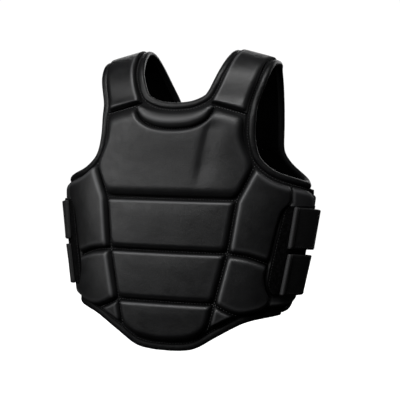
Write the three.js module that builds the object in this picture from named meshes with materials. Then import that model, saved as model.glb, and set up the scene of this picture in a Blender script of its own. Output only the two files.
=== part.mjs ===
// Padded chest guard for sport, worn over the shoulders and closed by straps at the sides.
// Millimetres, +Z up. The front faces -Y. The origin lies midway between the shoulder seats.
import * as THREE from "three";
import { mergeVertices } from "three/addons/utils/BufferGeometryUtils.js";

// Layers, measured outward from the lining
const SHEET_THICK = 4;
const BACK_THICK = 7;
const PAD_BASE = 4.8;
const PAD_LIP = 1.6;
const PAD_RISE = 15;
const PAD_BEVEL = 12;
const BEVEL_POWER = 1.6;
const ROLL_RISE = 12;
const ROLL_BEVEL = { ends: 11, edges: 3.8 };
const ROLL_INSET = 0.6;
const GUSSET_RISE = 11;
const GUSSET_BEVEL = { across: 6, along: 8 };
const SHOULDER_BASE = 5.5;
const SHOULDER_RISE = { chest: 10, crest: 3.5, from: 0.08, until: 0.36 };
const SHOULDER_BEVEL = 10;
const FLAP_RISE = 7.5;
const FLAP_BEVEL = 6;
const SEAM_INSET = 1.2;
const FLANGE = { neck: 3.5, arm: 6 };
const LAYER_GAP = 0.8;
const JOINT_GAP = 0.5;

// Edge binding, a flattened roll beside the sheet that it finishes
const BINDING_SIDES = 6;
const BINDING = { wide: 9.5, thick: 9 };
const SIDE_BINDING = { wide: 7, thick: 8 };
const ARM_BINDING_SPAN = { from: 0.05, to: 0.985 };
const SIDE_BINDING_SPAN = { from: 0.02, to: 0.94 };
const BACK_ARM_START = 0.06;
const BACK_NECK_INSET = 0.12;

// Side closure
const PATCH_THICK = 2;
const WEBBING_THICK = 3;
const WEBBING_WIDE = 60;
const WEBBING_FOLD = 9;
const WEBBING_FOLD_EDGE = 0.5;
const WEBBING_LEVELS = {
  upper: { top: -221.5, start: 0.773, lean: 0.0004 },
  lower: { top: -289, start: 0.768, lean: 0.0006 },
};
const WEBBING_SLANT = { past: 2, slope: 0.05 };
const WEBBING_DROOP = 5;
const WEBBING_ON_PATCH = PAD_BASE + FLAP_RISE + PATCH_THICK + 2 * LAYER_GAP + JOINT_GAP;

// Course of a side strap: from its start over the flap, then round its edge, then on the back
const WEBBING_ON_FLAP = [0, 0.33, 0.69, 1];
const WEBBING_FLAP_END = 0.95;
const WEBBING_ROUND_EDGE = [
  { past: 1, out: 12 },
  { past: 5, out: 4 },
];
const WEBBING_ON_WING = [
  { v: 236, lift: 3 },
  { v: 210, lift: LAYER_GAP },
  { v: 188, lift: LAYER_GAP },
  { v: 165, lift: LAYER_GAP },
];

// Front form, one row for each level of the lining
// frontY: depth of the front centre, halfGirth: from the front centre round to the back centre
const FRONT_LEVELS = [
  { z: -30, frontY: -78, halfGirth: 498 },
  { z: -60, frontY: -97, halfGirth: 500 },
  { z: -85, frontY: -105, halfGirth: 502 },
  { z: -110, frontY: -109, halfGirth: 502 },
  { z: -160, frontY: -112, halfGirth: 502 },
  { z: -214, frontY: -118, halfGirth: 495 },
  { z: -290, frontY: -125, halfGirth: 458 },
  { z: -363, frontY: -130, halfGirth: 414 },
  { z: -435, frontY: -132, halfGirth: 388 },
];
const FRONT_FLATNESS = 0.9;

// Girth of the outer edge of the side flap, at one level and its change with height
const FLAP_REACH = { z: -205, girth: 226.5, slope: 0.11 };

// Back form, an oval at each level: half its width, the middle of its depth, its rearmost line
const BACK_LEVELS = [
  { z: -130, halfWide: 180, middleY: -20, backY: 91 },
  { z: -200, halfWide: 178, middleY: -18, backY: 94 },
  { z: -280, halfWide: 165, middleY: -20, backY: 90 },
  { z: -360, halfWide: 149, middleY: -24, backY: 84 },
];
const BACK_ARC = 150;
const WING_END = 292;
const BACK_BOTTOM = -356;

// Top edge of the back panel, right half: girth from the back centre, height
const BACK_NECK = [[0, -149], [24, -146.5], [46, -136.6]];
const BACK_STRAP = [[46, -136.6], [106, -136.6]];
const BACK_ARM = [
  [106, -136.6], [112, -149], [127, -164], [150, -176.5],
  [185, -188], [232, -198], [WING_END, -202],
];

// Seams of the front as pattern points, right half: girth from the front centre, height
const CHEST_SEAM = [[0, -214], [98, -214]];
const BELLY_SEAM = [[0, -290], [88, -290]];
const WAIST_SEAM = [[0, -363], [72, -363]];
const HEM_PAD_LINE = [[0, -421], [42, -415.5], [64, -401]];
const CHEST_SIDE = [[98, -214], [121, -163]];
const BELLY_SIDE = [[88, -290], [98, -214]];
const WAIST_SIDE = [[72, -363], [88, -290]];
const HEM_SIDE = [[64, -401], [72, -363]];
const CHEST_ARM = [[121, -163], [106, -125], [105.5, -90]];
const SIDE_ARM = [[121, -163], [146, -181.5], [173, -190.5]];
const CHEST_STRAP = [[61, -78], [105.5, -90]];
const NECK_ROLL_LOW = [[0, -111.5], [19, -110.2], [36, -106], [51, -96], [61, -78]];
const NECK_ROLL_HIGH = [[0, -86], [22, -84.6], [40, -80.5], [52, -76]];
const SIDE_PANEL_SEAM = [[88, -290], [116, -294], [143.5, -304]];
const SIDE_PANEL_LOW = [[72, -363], [90, -373], [108, -378], [128, -374.5], [143, -368]];
const GUSSET_SEAM = [[72, -363], [88, -372], [104, -378.5]];
const GUSSET_TIP = [[65, -396], [69, -398]];
const GUSSET_SIDE = [[65, -396], [72, -363]];
const GUSSET_HEM = [[69, -398], [85, -388.5], [104, -378.5]];
const FLAP_SEAM_LOW = [[143, -368], [147, -353], [142, -340], [139.5, -322], [143.5, -304]];
const FLAP_SEAM_HIGH = [
  [143.5, -304], [149.5, -275], [155, -248],
  [161, -229], [172, -216], [173, -190.5],
];
const FLAP_LOW = [[143, -368], [179, -367.5]];
const FLAP_HIGH = [[173, -190.5], [207, -198]];
const FLAP_EDGE = [
  [179, -367.5], [197.5, -362.5], [205, -349], [212.5, -282],
  [218, -223], [217, -209], [207, -198],
];
const PATCH_LOW = [[149, -349], [188, -349]];
const PATCH_HIGH = [[168, -220], [214, -220]];
const PATCH_FRONT = [
  [149, -349], [144, -341], [142.5, -327], [149.5, -286],
  [158, -245], [162.5, -226], [168, -220],
];
const PATCH_REAR = [[188, -349], [204, -285], [214, -220]];

// Edge of the front sheet, right half
const SHEET_NECK = [[0, -82], [20, -80.5], [34, -76.8], [45, -71.3]];
const SHEET_STRAP = [[45, -71.3], [111, -91.8]];
const SHEET_ARM = [
  [111, -91.8], [111.5, -124], [121, -156.5],
  [147, -178.2], [181, -188.5], [222, -197],
];
const SHEET_SIDE = [[175, -371], [206, -357], [214.5, -280], [222.5, -214], [222, -197]];
const SHEET_HEM = [
  [0, -425.5], [24, -424.5], [43.5, -420], [70, -403.5],
  [106, -383.5], [134, -375.5], [175, -371],
];

// Right shoulder strap: its neck edge and arm edge at stations from the chest over the shoulder
const STRAP_STATIONS = [
  { neck: [52.2, -98.5, -65], arm: [111.6, -90, -73] },
  { neck: [66, -87, -32], arm: [121.5, -77, -36] },
  { neck: [72.5, -62, -8], arm: [126, -56, -15.5] },
  { neck: [76, -34, 5.5], arm: [128, -31, -8] },
  { neck: [77.5, -2, 5], arm: [126.5, -2, -8] },
  { neck: [75.5, 29, -11], arm: [120, 28, -14] },
  { neck: [68, 54, -38.5], arm: [117.5, 51, -34] },
  { neck: [57.5, 70, -68], arm: [116, 66, -63] },
  { neck: [52, 79, -100], arm: [116, 70, -100] },
];
const STRAP_FOOT_Z = -136;
const STRAP_FOOT = { neck: 46, arm: 106 };
const SHOULDER_PAD_END = 0.74;
const SHOULDER_PAD_TAPER = { wide: 8, until: 0.13 };

// Mesh steps along the edges and between the bevels
const SHEET_STEPS = { arm: 14, strap: 3, neck: 6 };
const SHEET_ROWS = [0, 0.06, 0.13, 0.3, 0.52, 0.75, 0.86, 0.94, 1];
const BACK_STEPS = { arm: 15, strap: 2, neck: 8, rows: 3 };
const STRAP_STEPS = { across: 3, along: 22 };
const SHOULDER_PAD_STEPS = { across: 2, along: 11 };
const CHEST_STEPS = { across: 11, up: 7 };
const ROLL_STEPS = { across: 12, up: 1 };
const BELLY_STEPS = { across: 7, up: 3 };
const UPPER_SIDE_STEPS = { across: 3, up: 5 };
const LOWER_SIDE_STEPS = { across: 4, up: 3 };
const GUSSET_STEPS = { across: 1, up: 1 };
const FLAP_STEPS = { across: 3, up: 6 };
const PATCH_STEPS = { across: 3, up: 10 };
const WEBBING_STEPS = 15;
const BINDING_STEPS = { shoulder: 20, neck: 5, hem: 34, arm: 16, backArm: 11, backNeck: 8, backHem: 20 };
const CREASE_SHARE = 0.35;
const SECTION_STEPS = 240;
const TANGENT_REACH = 0.01;
const WELD = 0.0001;

const FINISHES = {
  leather: { color: 0x202123, roughness: 0.45 },
  lining: { color: 0x141416, roughness: 0.85 },
  binding: { color: 0x1b1c1e, roughness: 0.4 },
  webbing: { color: 0x1d1e1f, roughness: 0.9 },
  hook: { color: 0x101011, roughness: 0.95 },
};
const SIDES = { right: 1, left: -1 };

const guard = new THREE.Group();

function addPiece(name, finish, geometry) {
  const material = new THREE.MeshStandardMaterial({ ...FINISHES[finish], metalness: 0 });
  const mesh = new THREE.Mesh(geometry, material);
  mesh.name = name;
  guard.add(mesh);
}

// Smooth value of one column of a table of levels
function levelValue(rows, column, z) {
  const last = rows.length - 1;
  let i = 0;
  while (i < last - 1 && z < rows[i + 1].z) i += 1;
  const slope = (k) => {
    const before = rows[Math.max(k - 1, 0)];
    const after = rows[Math.min(k + 1, last)];
    return (after[column] - before[column]) / (after.z - before.z);
  };
  const from = rows[i];
  const to = rows[i + 1];
  const span = to.z - from.z;
  const t = (z - from.z) / span;
  const near = (1 + 2 * t) * (1 - t) ** 2 * from[column] + t * (1 - t) ** 2 * span * slope(i);
  const far = t * t * (3 - 2 * t) * to[column] + t * t * (t - 1) * span * slope(i + 1);
  return near + far;
}

// The front's level section turns slowly at the front and faster at the sides
function sectionTurn(share) {
  const full = 2 * Math.PI;
  return Math.PI * (share - (FRONT_FLATNESS * Math.sin(full * share)) / full);
}

const SECTION = [{ across: 0, deep: 0 }];
for (let i = 0; i < SECTION_STEPS; i += 1) {
  const turn = sectionTurn((i + 0.5) / SECTION_STEPS);
  SECTION.push({
    across: SECTION[i].across + Math.cos(turn) / SECTION_STEPS,
    deep: SECTION[i].deep + Math.sin(turn) / SECTION_STEPS,
  });
}

// Point of the front at girth u and height z, out from the lining
function frontPoint(u, z, out) {
  const halfGirth = levelValue(FRONT_LEVELS, "halfGirth", z);
  const share = Math.abs(u) / halfGirth;
  const step = Math.min(Math.floor(share * SECTION_STEPS), SECTION_STEPS - 1);
  const part = share * SECTION_STEPS - step;
  const across = THREE.MathUtils.lerp(SECTION[step].across, SECTION[step + 1].across, part);
  const deep = THREE.MathUtils.lerp(SECTION[step].deep, SECTION[step + 1].deep, part);
  const turn = sectionTurn(share);
  const x = Math.sign(u) * (across * halfGirth + out * Math.sin(turn));
  const y = levelValue(FRONT_LEVELS, "frontY", z) + deep * halfGirth - out * Math.cos(turn);
  return new THREE.Vector3(x, y, z);
}

function frontNormal(u, z) {
  const along = frontPoint(u + 1, z, 0).sub(frontPoint(u - 1, z, 0));
  const up = frontPoint(u, z + 1, 0).sub(frontPoint(u, z - 1, 0));
  return along.cross(up).normalize();
}

// Point of the back at girth v from the back centre and height z, out from the lining
function backPoint(v, z, out) {
  const turn = v / BACK_ARC;
  const halfWide = levelValue(BACK_LEVELS, "halfWide", z);
  const middleY = levelValue(BACK_LEVELS, "middleY", z);
  const halfDeep = levelValue(BACK_LEVELS, "backY", z) - middleY;
  const normal = new THREE.Vector3(Math.sin(turn) * halfDeep, Math.cos(turn) * halfWide, 0).normalize();
  const point = new THREE.Vector3(halfWide * Math.sin(turn), middleY + halfDeep * Math.cos(turn), z);
  return point.addScaledVector(normal, out);
}

function backNormal(v, z) {
  return backPoint(v, z, 1).sub(backPoint(v, z, 0));
}

// Right shoulder strap, a ruled sheet between its neck edge and its arm edge
function strapEdge(side, chestEnd) {
  const middle = STRAP_STATIONS.map((station) => new THREE.Vector3(...station[side]));
  const foot = backPoint(STRAP_FOOT[side], STRAP_FOOT_Z, 0);
  return new THREE.CatmullRomCurve3([frontPoint(...chestEnd, 0), ...middle, foot]);
}

const strapNeckEdge = strapEdge("neck", SHEET_STRAP[0]);
const strapArmEdge = strapEdge("arm", SHEET_STRAP[1]);
const STRAP_LENGTH = (strapNeckEdge.getLength() + strapArmEdge.getLength()) / 2;

function strapMiddle(across, along) {
  return strapNeckEdge.getPoint(along).lerp(strapArmEdge.getPoint(along), across);
}

function strapNormal(across, along) {
  const before = strapMiddle(across, Math.max(along - TANGENT_REACH, 0));
  const forward = strapMiddle(across, Math.min(along + TANGENT_REACH, 1)).sub(before);
  const wide = strapArmEdge.getPoint(along).sub(strapNeckEdge.getPoint(along));
  return wide.cross(forward).normalize();
}

function strapPoint(across, along, out) {
  return strapMiddle(across, along).addScaledVector(strapNormal(across, along), out);
}

// Closed body without seams between its faces
function closedBody(geometry) {
  geometry.deleteAttribute("normal");
  geometry.deleteAttribute("uv");
  geometry.clearGroups();
  const joined = mergeVertices(geometry, WELD);
  joined.computeVertexNormals();
  return joined;
}

// Block bent into a sheet or pad: place(a, b, outside) gives each grid point
// A side of -1 mirrors the piece to the left
function bentBlock(stepsA, stepsB, place, side = 1) {
  const countA = stepsA.length - 1;
  const countB = stepsB.length - 1;
  const geometry = new THREE.BoxGeometry(1, 1, 1, countA, countB, 1);
  const corners = geometry.attributes.position;
  for (let i = 0; i < corners.count; i += 1) {
    const indexA = Math.round((corners.getX(i) + 0.5) * countA);
    const indexB = Math.round((corners.getY(i) + 0.5) * countB);
    const a = stepsA[side > 0 ? indexA : countA - indexA];
    const point = place(a, stepsB[indexB], corners.getZ(i) > 0);
    corners.setXYZ(i, side * point.x, point.y, point.z);
  }
  return closedBody(geometry);
}

// Bar bent along the edge of a sheet; each station has a point of the edge and the sheet's normal
// The bar lies on the side of the edge that tangent x normal points to
function edgeBar(stations, size, sheetThick, side = 1) {
  const count = stations.length - 1;
  const geometry = new THREE.CylinderGeometry(1, 1, 1, BINDING_SIDES, count);
  const mirror = new THREE.Vector3(side, 1, 1);
  const flatReach = (Math.cos(Math.PI / BINDING_SIDES) * size.wide) / 2;
  const frames = stations.map((station, i) => {
    const before = stations[Math.max(i - 1, 0)].edge;
    const after = stations[Math.min(i + 1, count)].edge;
    const forward = after.clone().sub(before).normalize();
    const outward = forward.clone().cross(station.normal).normalize();
    const centre = station.edge.clone();
    centre.addScaledVector(outward, JOINT_GAP + flatReach);
    centre.addScaledVector(station.normal, sheetThick / 2);
    centre.multiply(mirror);
    outward.multiply(mirror);
    forward.multiply(mirror);
    return { centre, outward, upward: outward.clone().cross(forward).normalize() };
  });
  const corners = geometry.attributes.position;
  for (let i = 0; i < corners.count; i += 1) {
    const frame = frames[Math.round((corners.getY(i) + 0.5) * count)];
    const point = frame.centre.clone();
    point.addScaledVector(frame.outward, (corners.getX(i) * size.wide) / 2);
    point.addScaledVector(frame.upward, (corners.getZ(i) * size.thick) / 2);
    corners.setXYZ(i, point.x, point.y, point.z);
  }
  return closedBody(geometry);
}

function evenSteps(count, from = 0, to = 1) {
  return Array.from({ length: count + 1 }, (_, i) => from + ((to - from) * i) / count);
}

// Steps across a pad: close together over the bevels, even between them
function padSteps(length, insets, bevel, inner) {
  const [near, far] = insets.map((inset) => inset / length);
  const ring = bevel / length;
  const crease = CREASE_SHARE * ring;
  const middle = evenSteps(inner, near + ring, 1 - far - ring);
  return [near, near + crease, ...middle, 1 - far - crease, 1 - far];
}

// Share of the full height at a distance from the near and the far edge of a pad
function bevelShare(near, far, bevel) {
  const rise = (distance) => {
    const left = 1 - THREE.MathUtils.clamp(distance / bevel, 0, 1);
    return (1 - left ** BEVEL_POWER) ** (1 / BEVEL_POWER);
  };
  return rise(near) * rise(far);
}

function mirrored(points) {
  return points.map(([u, z]) => [-u, z]);
}

function reversed(points) {
  return [...points].reverse();
}

// Both halves of a line that is listed from the centre outward
function symmetric(points) {
  return [...reversed(mirrored(points)), ...points.slice(1)];
}

function chain(...parts) {
  const path = new THREE.CurvePath();
  for (const part of parts) {
    path.add(new THREE.SplineCurve(part.map(([u, z]) => new THREE.Vector2(u, z))));
  }
  return path;
}

// Point inside four pattern lines: low and high run left to right, left and right run upward
function patternPoint(lines, a, b) {
  const low = lines.low.getPoint(a);
  const high = lines.high.getPoint(a);
  const left = lines.left.getPoint(b);
  const right = lines.right.getPoint(b);
  const lowLeft = lines.low.getPoint(0);
  const lowRight = lines.low.getPoint(1);
  const highLeft = lines.high.getPoint(0);
  const highRight = lines.high.getPoint(1);
  const blend = (axis) => {
    const rows = (1 - b) * low[axis] + b * high[axis];
    const columns = (1 - a) * left[axis] + a * right[axis];
    const lowCorners = (1 - b) * ((1 - a) * lowLeft[axis] + a * lowRight[axis]);
    const highCorners = b * ((1 - a) * highLeft[axis] + a * highRight[axis]);
    return rows + columns - lowCorners - highCorners;
  };
  return [blend("x"), blend("y")];
}

function meanLength(one, other) {
  return (one.getLength() + other.getLength()) / 2;
}

// Foam pad on the front sheet, between its seams
const BOTH_SEAMS = [SEAM_INSET, SEAM_INSET];
const FOAM = {
  insetA: BOTH_SEAMS,
  insetB: BOTH_SEAMS,
  bevelA: PAD_BEVEL,
  bevelB: PAD_BEVEL,
  rise: PAD_RISE,
};

function frontPad(lines, shape, inner, side = 1) {
  const lengthA = meanLength(lines.low, lines.high);
  const lengthB = meanLength(lines.left, lines.right);
  const [nearA, farA] = shape.insetA;
  const [nearB, farB] = shape.insetB;
  const place = (a, b, outside) => {
    const shareA = bevelShare(a * lengthA - nearA, (1 - a) * lengthA - farA, shape.bevelA);
    const shareB = bevelShare(b * lengthB - nearB, (1 - b) * lengthB - farB, shape.bevelB);
    const height = PAD_LIP + (shape.rise - PAD_LIP) * shareA * shareB;
    return frontPoint(...patternPoint(lines, a, b), PAD_BASE + (outside ? height : 0));
  };
  const stepsA = padSteps(lengthA, shape.insetA, shape.bevelA, inner.across);
  const stepsB = padSteps(lengthB, shape.insetB, shape.bevelB, inner.up);
  return bentBlock(stepsA, stepsB, place, side);
}

// Front sheet under the pads, with steps at the ends of each edge line
function frontSheet() {
  const tops = [
    { points: reversed(mirrored(SHEET_ARM)), steps: SHEET_STEPS.arm },
    { points: reversed(mirrored(SHEET_STRAP)), steps: SHEET_STEPS.strap },
    { points: symmetric(SHEET_NECK), steps: SHEET_STEPS.neck },
    { points: SHEET_STRAP, steps: SHEET_STEPS.strap },
    { points: SHEET_ARM, steps: SHEET_STEPS.arm },
  ];
  const lines = {
    low: chain(symmetric(SHEET_HEM)),
    high: chain(...tops.map((top) => top.points)),
    left: chain(mirrored(SHEET_SIDE)),
    right: chain(SHEET_SIDE),
  };
  const ends = lines.high.getCurveLengths();
  const total = lines.high.getLength();
  const stepsA = [0];
  tops.forEach((top, i) => {
    const from = i > 0 ? ends[i - 1] / total : 0;
    stepsA.push(...evenSteps(top.steps, from, ends[i] / total).slice(1));
  });
  const place = (a, b, outside) => frontPoint(...patternPoint(lines, a, b), outside ? SHEET_THICK : 0);
  return bentBlock(stepsA, SHEET_ROWS, place);
}

// Back panel between its top edge and a level hem
function backPanel() {
  const tops = [
    { points: reversed(BACK_ARM), steps: BACK_STEPS.arm },
    { points: reversed(BACK_STRAP), steps: BACK_STEPS.strap },
    { points: symmetric(BACK_NECK).reverse(), steps: BACK_STEPS.neck },
    { points: mirrored(BACK_STRAP), steps: BACK_STEPS.strap },
    { points: mirrored(BACK_ARM), steps: BACK_STEPS.arm },
  ];
  const spots = [];
  for (const top of tops) {
    const edge = chain(top.points);
    spots.push(...evenSteps(top.steps).map((t) => edge.getPoint(t)).slice(spots.length > 0 ? 1 : 0));
  }
  const place = (index, b, outside) => {
    const top = spots[index];
    return backPoint(top.x, THREE.MathUtils.lerp(BACK_BOTTOM, top.y, b), outside ? BACK_THICK : 0);
  };
  return bentBlock(spots.map((_, i) => i), evenSteps(BACK_STEPS.rows), place);
}

function shoulderStrap(side) {
  const end = JOINT_GAP / STRAP_LENGTH;
  const place = (across, along, outside) => strapPoint(across, along, outside ? SHEET_THICK : 0);
  const stepsB = evenSteps(STRAP_STEPS.along, end, 1 - end);
  return bentBlock(evenSteps(STRAP_STEPS.across), stepsB, place, side);
}

// Foam pad over the shoulder, narrower at the neck end of the strap seam
function shoulderPad(side) {
  const length = STRAP_LENGTH * SHOULDER_PAD_END;
  const wide = SHEET_STRAP[1][0] - SHEET_STRAP[0][0];
  const padWide = wide - FLANGE.neck - FLANGE.arm;
  const stepsA = padSteps(padWide, [0, 0], SHOULDER_BEVEL, SHOULDER_PAD_STEPS.across);
  const stepsB = padSteps(length, BOTH_SEAMS, SHOULDER_BEVEL, SHOULDER_PAD_STEPS.along);
  const place = (a, b, outside) => {
    const along = b * SHOULDER_PAD_END;
    const taper = 1 - THREE.MathUtils.smoothstep(along, 0, SHOULDER_PAD_TAPER.until);
    const neckInset = (FLANGE.neck + SHOULDER_PAD_TAPER.wide * taper) / wide;
    const across = THREE.MathUtils.lerp(neckInset, 1 - FLANGE.arm / wide, a);
    const shareA = bevelShare(a * padWide, (1 - a) * padWide, SHOULDER_BEVEL);
    const shareB = bevelShare(b * length - SEAM_INSET, (1 - b) * length - SEAM_INSET, SHOULDER_BEVEL);
    const thinner = THREE.MathUtils.smoothstep(along, SHOULDER_RISE.from, SHOULDER_RISE.until);
    const rise = THREE.MathUtils.lerp(SHOULDER_RISE.chest, SHOULDER_RISE.crest, thinner);
    const height = PAD_LIP + (rise - PAD_LIP) * shareA * shareB;
    return strapPoint(across, along, SHOULDER_BASE + (outside ? height : 0));
  };
  return bentBlock(stepsA, stepsB, place, side);
}

// Side strap from its folded end on the hook patch, round the flap's edge, to the back panel
function webbingPath({ top, start, lean }, z) {
  const flapReach = FLAP_REACH.girth + FLAP_REACH.slope * (top - FLAP_REACH.z);
  const reach = flapReach + WEBBING_SLANT.past + WEBBING_SLANT.slope * (z - top);
  const from = start - lean * (top - z);
  const onFlap = WEBBING_ON_FLAP.map((share, i) => {
    const lower = (WEBBING_DROOP * i) / WEBBING_ON_FLAP.length;
    const girth = THREE.MathUtils.lerp(from, WEBBING_FLAP_END, share) * reach;
    return frontPoint(girth, z - lower, WEBBING_ON_PATCH);
  });
  const rearZ = z - WEBBING_DROOP;
  const roundEdge = WEBBING_ROUND_EDGE.map((spot) => frontPoint(reach + spot.past, rearZ, spot.out));
  const onBack = WEBBING_ON_WING.map((spot) => backPoint(spot.v, rearZ, BACK_THICK + spot.lift));
  return new THREE.CatmullRomCurve3([...onFlap, ...roundEdge, ...onBack]);
}

function sideStrap(level, side) {
  const up = new THREE.Vector3(0, 0, 1);
  const low = webbingPath(level, level.top - WEBBING_WIDE);
  const high = webbingPath(level, level.top);
  const fold = WEBBING_FOLD / high.getLength();
  const foldEdge = WEBBING_FOLD_EDGE / high.getLength();
  const place = (a, b, outside) => {
    const path = b > 0 ? high : low;
    const thick = a <= fold ? 2 * WEBBING_THICK : WEBBING_THICK;
    const outward = path.getTangentAt(a).cross(up).normalize();
    return path.getPointAt(a).addScaledVector(outward, outside ? thick : 0);
  };
  return bentBlock([0, fold, ...evenSteps(WEBBING_STEPS, fold + foldEdge, 1)], [0, 1], place, side);
}

// Stations along an edge of the front sheet, of the back panel and of a shoulder strap
function frontStations(points, shares) {
  const edge = chain(points);
  return shares.map((t) => {
    const spot = edge.getPoint(t);
    return { edge: frontPoint(spot.x, spot.y, 0), normal: frontNormal(spot.x, spot.y) };
  });
}

function backStations(points, shares) {
  const edge = chain(points);
  return shares.map((t) => {
    const spot = edge.getPoint(t);
    return { edge: backPoint(spot.x, spot.y, 0), normal: backNormal(spot.x, spot.y) };
  });
}

function strapStations(across, steps) {
  const end = JOINT_GAP / STRAP_LENGTH;
  return evenSteps(steps, end, 1 - end).map((along) => ({
    edge: strapMiddle(across, along),
    normal: strapNormal(across, along),
  }));
}

function mirroredStation(station) {
  const mirror = new THREE.Vector3(-1, 1, 1);
  return { edge: station.edge.clone().multiply(mirror), normal: station.normal.clone().multiply(mirror) };
}

// Neck binding: up one strap from the back, along the front neckline and over the other strap
function neckBinding() {
  const overShoulder = strapStations(0, BINDING_STEPS.shoulder).reverse();
  const neckline = frontStations(reversed(SHEET_NECK), evenSteps(BINDING_STEPS.neck)).slice(1);
  const half = [...overShoulder, ...neckline];
  const otherHalf = half.slice(0, -1).map(mirroredStation).reverse();
  return edgeBar([...half, ...otherHalf], BINDING, SHEET_THICK);
}

// Panels on the centre line
addPiece("front_sheet", "lining", frontSheet());
addPiece("back_panel", "leather", backPanel());
addPiece("neck_binding", "binding", neckBinding());
const hemEdge = frontStations(symmetric(SHEET_HEM), evenSteps(BINDING_STEPS.hem));
addPiece("hem_binding", "binding", edgeBar(hemEdge, BINDING, SHEET_THICK));

const chestLines = {
  low: chain(symmetric(CHEST_SEAM)),
  high: chain(reversed(mirrored(CHEST_STRAP)), symmetric(NECK_ROLL_LOW), CHEST_STRAP),
  left: chain(mirrored(CHEST_SIDE), mirrored(CHEST_ARM)),
  right: chain(CHEST_SIDE, CHEST_ARM),
};
addPiece("chest_panel", "leather", frontPad(chestLines, FOAM, CHEST_STEPS));

const rollLines = {
  low: chain(symmetric(NECK_ROLL_LOW)),
  high: chain(symmetric(NECK_ROLL_HIGH)),
  left: chain([mirrored(NECK_ROLL_LOW).at(-1), mirrored(NECK_ROLL_HIGH).at(-1)]),
  right: chain([NECK_ROLL_LOW.at(-1), NECK_ROLL_HIGH.at(-1)]),
};
const ROLL = {
  insetA: BOTH_SEAMS,
  insetB: [ROLL_INSET, ROLL_INSET],
  bevelA: ROLL_BEVEL.ends,
  bevelB: ROLL_BEVEL.edges,
  rise: ROLL_RISE,
};
addPiece("neck_roll", "leather", frontPad(rollLines, ROLL, ROLL_STEPS));

const bellyRows = [
  { name: "belly_panel_upper", low: BELLY_SEAM, high: CHEST_SEAM, side: BELLY_SIDE },
  { name: "belly_panel_middle", low: WAIST_SEAM, high: BELLY_SEAM, side: WAIST_SIDE },
  { name: "belly_panel_lower", low: HEM_PAD_LINE, high: WAIST_SEAM, side: HEM_SIDE },
];
for (const row of bellyRows) {
  const lines = {
    low: chain(symmetric(row.low)),
    high: chain(symmetric(row.high)),
    left: chain(mirrored(row.side)),
    right: chain(row.side),
  };
  addPiece(row.name, "leather", frontPad(lines, FOAM, BELLY_STEPS));
}

// Panels of each side
const upperSideLines = {
  low: chain(SIDE_PANEL_SEAM),
  high: chain(SIDE_ARM),
  left: chain(BELLY_SIDE, CHEST_SIDE),
  right: chain(FLAP_SEAM_HIGH),
};
const lowerSideLines = {
  low: chain(SIDE_PANEL_LOW),
  high: chain(SIDE_PANEL_SEAM),
  left: chain(WAIST_SIDE),
  right: chain(FLAP_SEAM_LOW),
};
const gussetLines = {
  low: chain(GUSSET_TIP),
  high: chain(GUSSET_SEAM),
  left: chain(GUSSET_SIDE),
  right: chain(GUSSET_HEM),
};
const flapLines = {
  low: chain(FLAP_LOW),
  high: chain(FLAP_HIGH),
  left: chain(FLAP_SEAM_LOW, FLAP_SEAM_HIGH),
  right: chain(FLAP_EDGE),
};
const patchLines = {
  low: chain(PATCH_LOW),
  high: chain(PATCH_HIGH),
  left: chain(PATCH_FRONT),
  right: chain(PATCH_REAR),
};
const GUSSET = { ...FOAM, bevelA: GUSSET_BEVEL.across, bevelB: GUSSET_BEVEL.along, rise: GUSSET_RISE };
const FLAP = { ...FOAM, bevelA: FLAP_BEVEL, bevelB: FLAP_BEVEL, rise: FLAP_RISE };

function hookPatch(side) {
  const base = PAD_BASE + FLAP_RISE + LAYER_GAP;
  const place = (a, b, outside) => {
    return frontPoint(...patternPoint(patchLines, a, b), base + (outside ? PATCH_THICK : 0));
  };
  return bentBlock(evenSteps(PATCH_STEPS.across), evenSteps(PATCH_STEPS.up), place, side);
}

for (const [name, side] of Object.entries(SIDES)) {
  addPiece(`shoulder_strap_${name}`, "lining", shoulderStrap(side));
  addPiece(`shoulder_pad_${name}`, "leather", shoulderPad(side));
  addPiece(`side_panel_upper_${name}`, "leather", frontPad(upperSideLines, FOAM, UPPER_SIDE_STEPS, side));
  addPiece(`side_panel_lower_${name}`, "leather", frontPad(lowerSideLines, FOAM, LOWER_SIDE_STEPS, side));
  addPiece(`hem_gusset_${name}`, "leather", frontPad(gussetLines, GUSSET, GUSSET_STEPS, side));
  addPiece(`side_flap_${name}`, "leather", frontPad(flapLines, FLAP, FLAP_STEPS, side));
  addPiece(`hook_patch_${name}`, "hook", hookPatch(side));
  for (const [row, level] of Object.entries(WEBBING_LEVELS)) {
    addPiece(`side_strap_${row}_${name}`, "webbing", sideStrap(level, side));
  }
  const armShares = evenSteps(BINDING_STEPS.arm, ARM_BINDING_SPAN.from, ARM_BINDING_SPAN.to);
  const sideRows = SHEET_ROWS.filter((share) => share > 0 && share <= SIDE_BINDING_SPAN.to);
  const armEdge = frontStations(reversed(SHEET_ARM), armShares);
  const strapArm = strapStations(1, BINDING_STEPS.shoulder);
  const flapEdge = frontStations(SHEET_SIDE, [SIDE_BINDING_SPAN.from, ...sideRows]);
  const backArmEdge = backStations(BACK_ARM, evenSteps(BINDING_STEPS.backArm, BACK_ARM_START));
  addPiece(`armhole_binding_${name}`, "binding", edgeBar(armEdge, BINDING, SHEET_THICK, side));
  addPiece(`strap_binding_${name}`, "binding", edgeBar(strapArm, BINDING, SHEET_THICK, side));
  addPiece(`side_binding_${name}`, "binding", edgeBar(flapEdge, SIDE_BINDING, SHEET_THICK, side));
  addPiece(`back_armhole_binding_${name}`, "binding", edgeBar(backArmEdge, BINDING, BACK_THICK, side));
}

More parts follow.
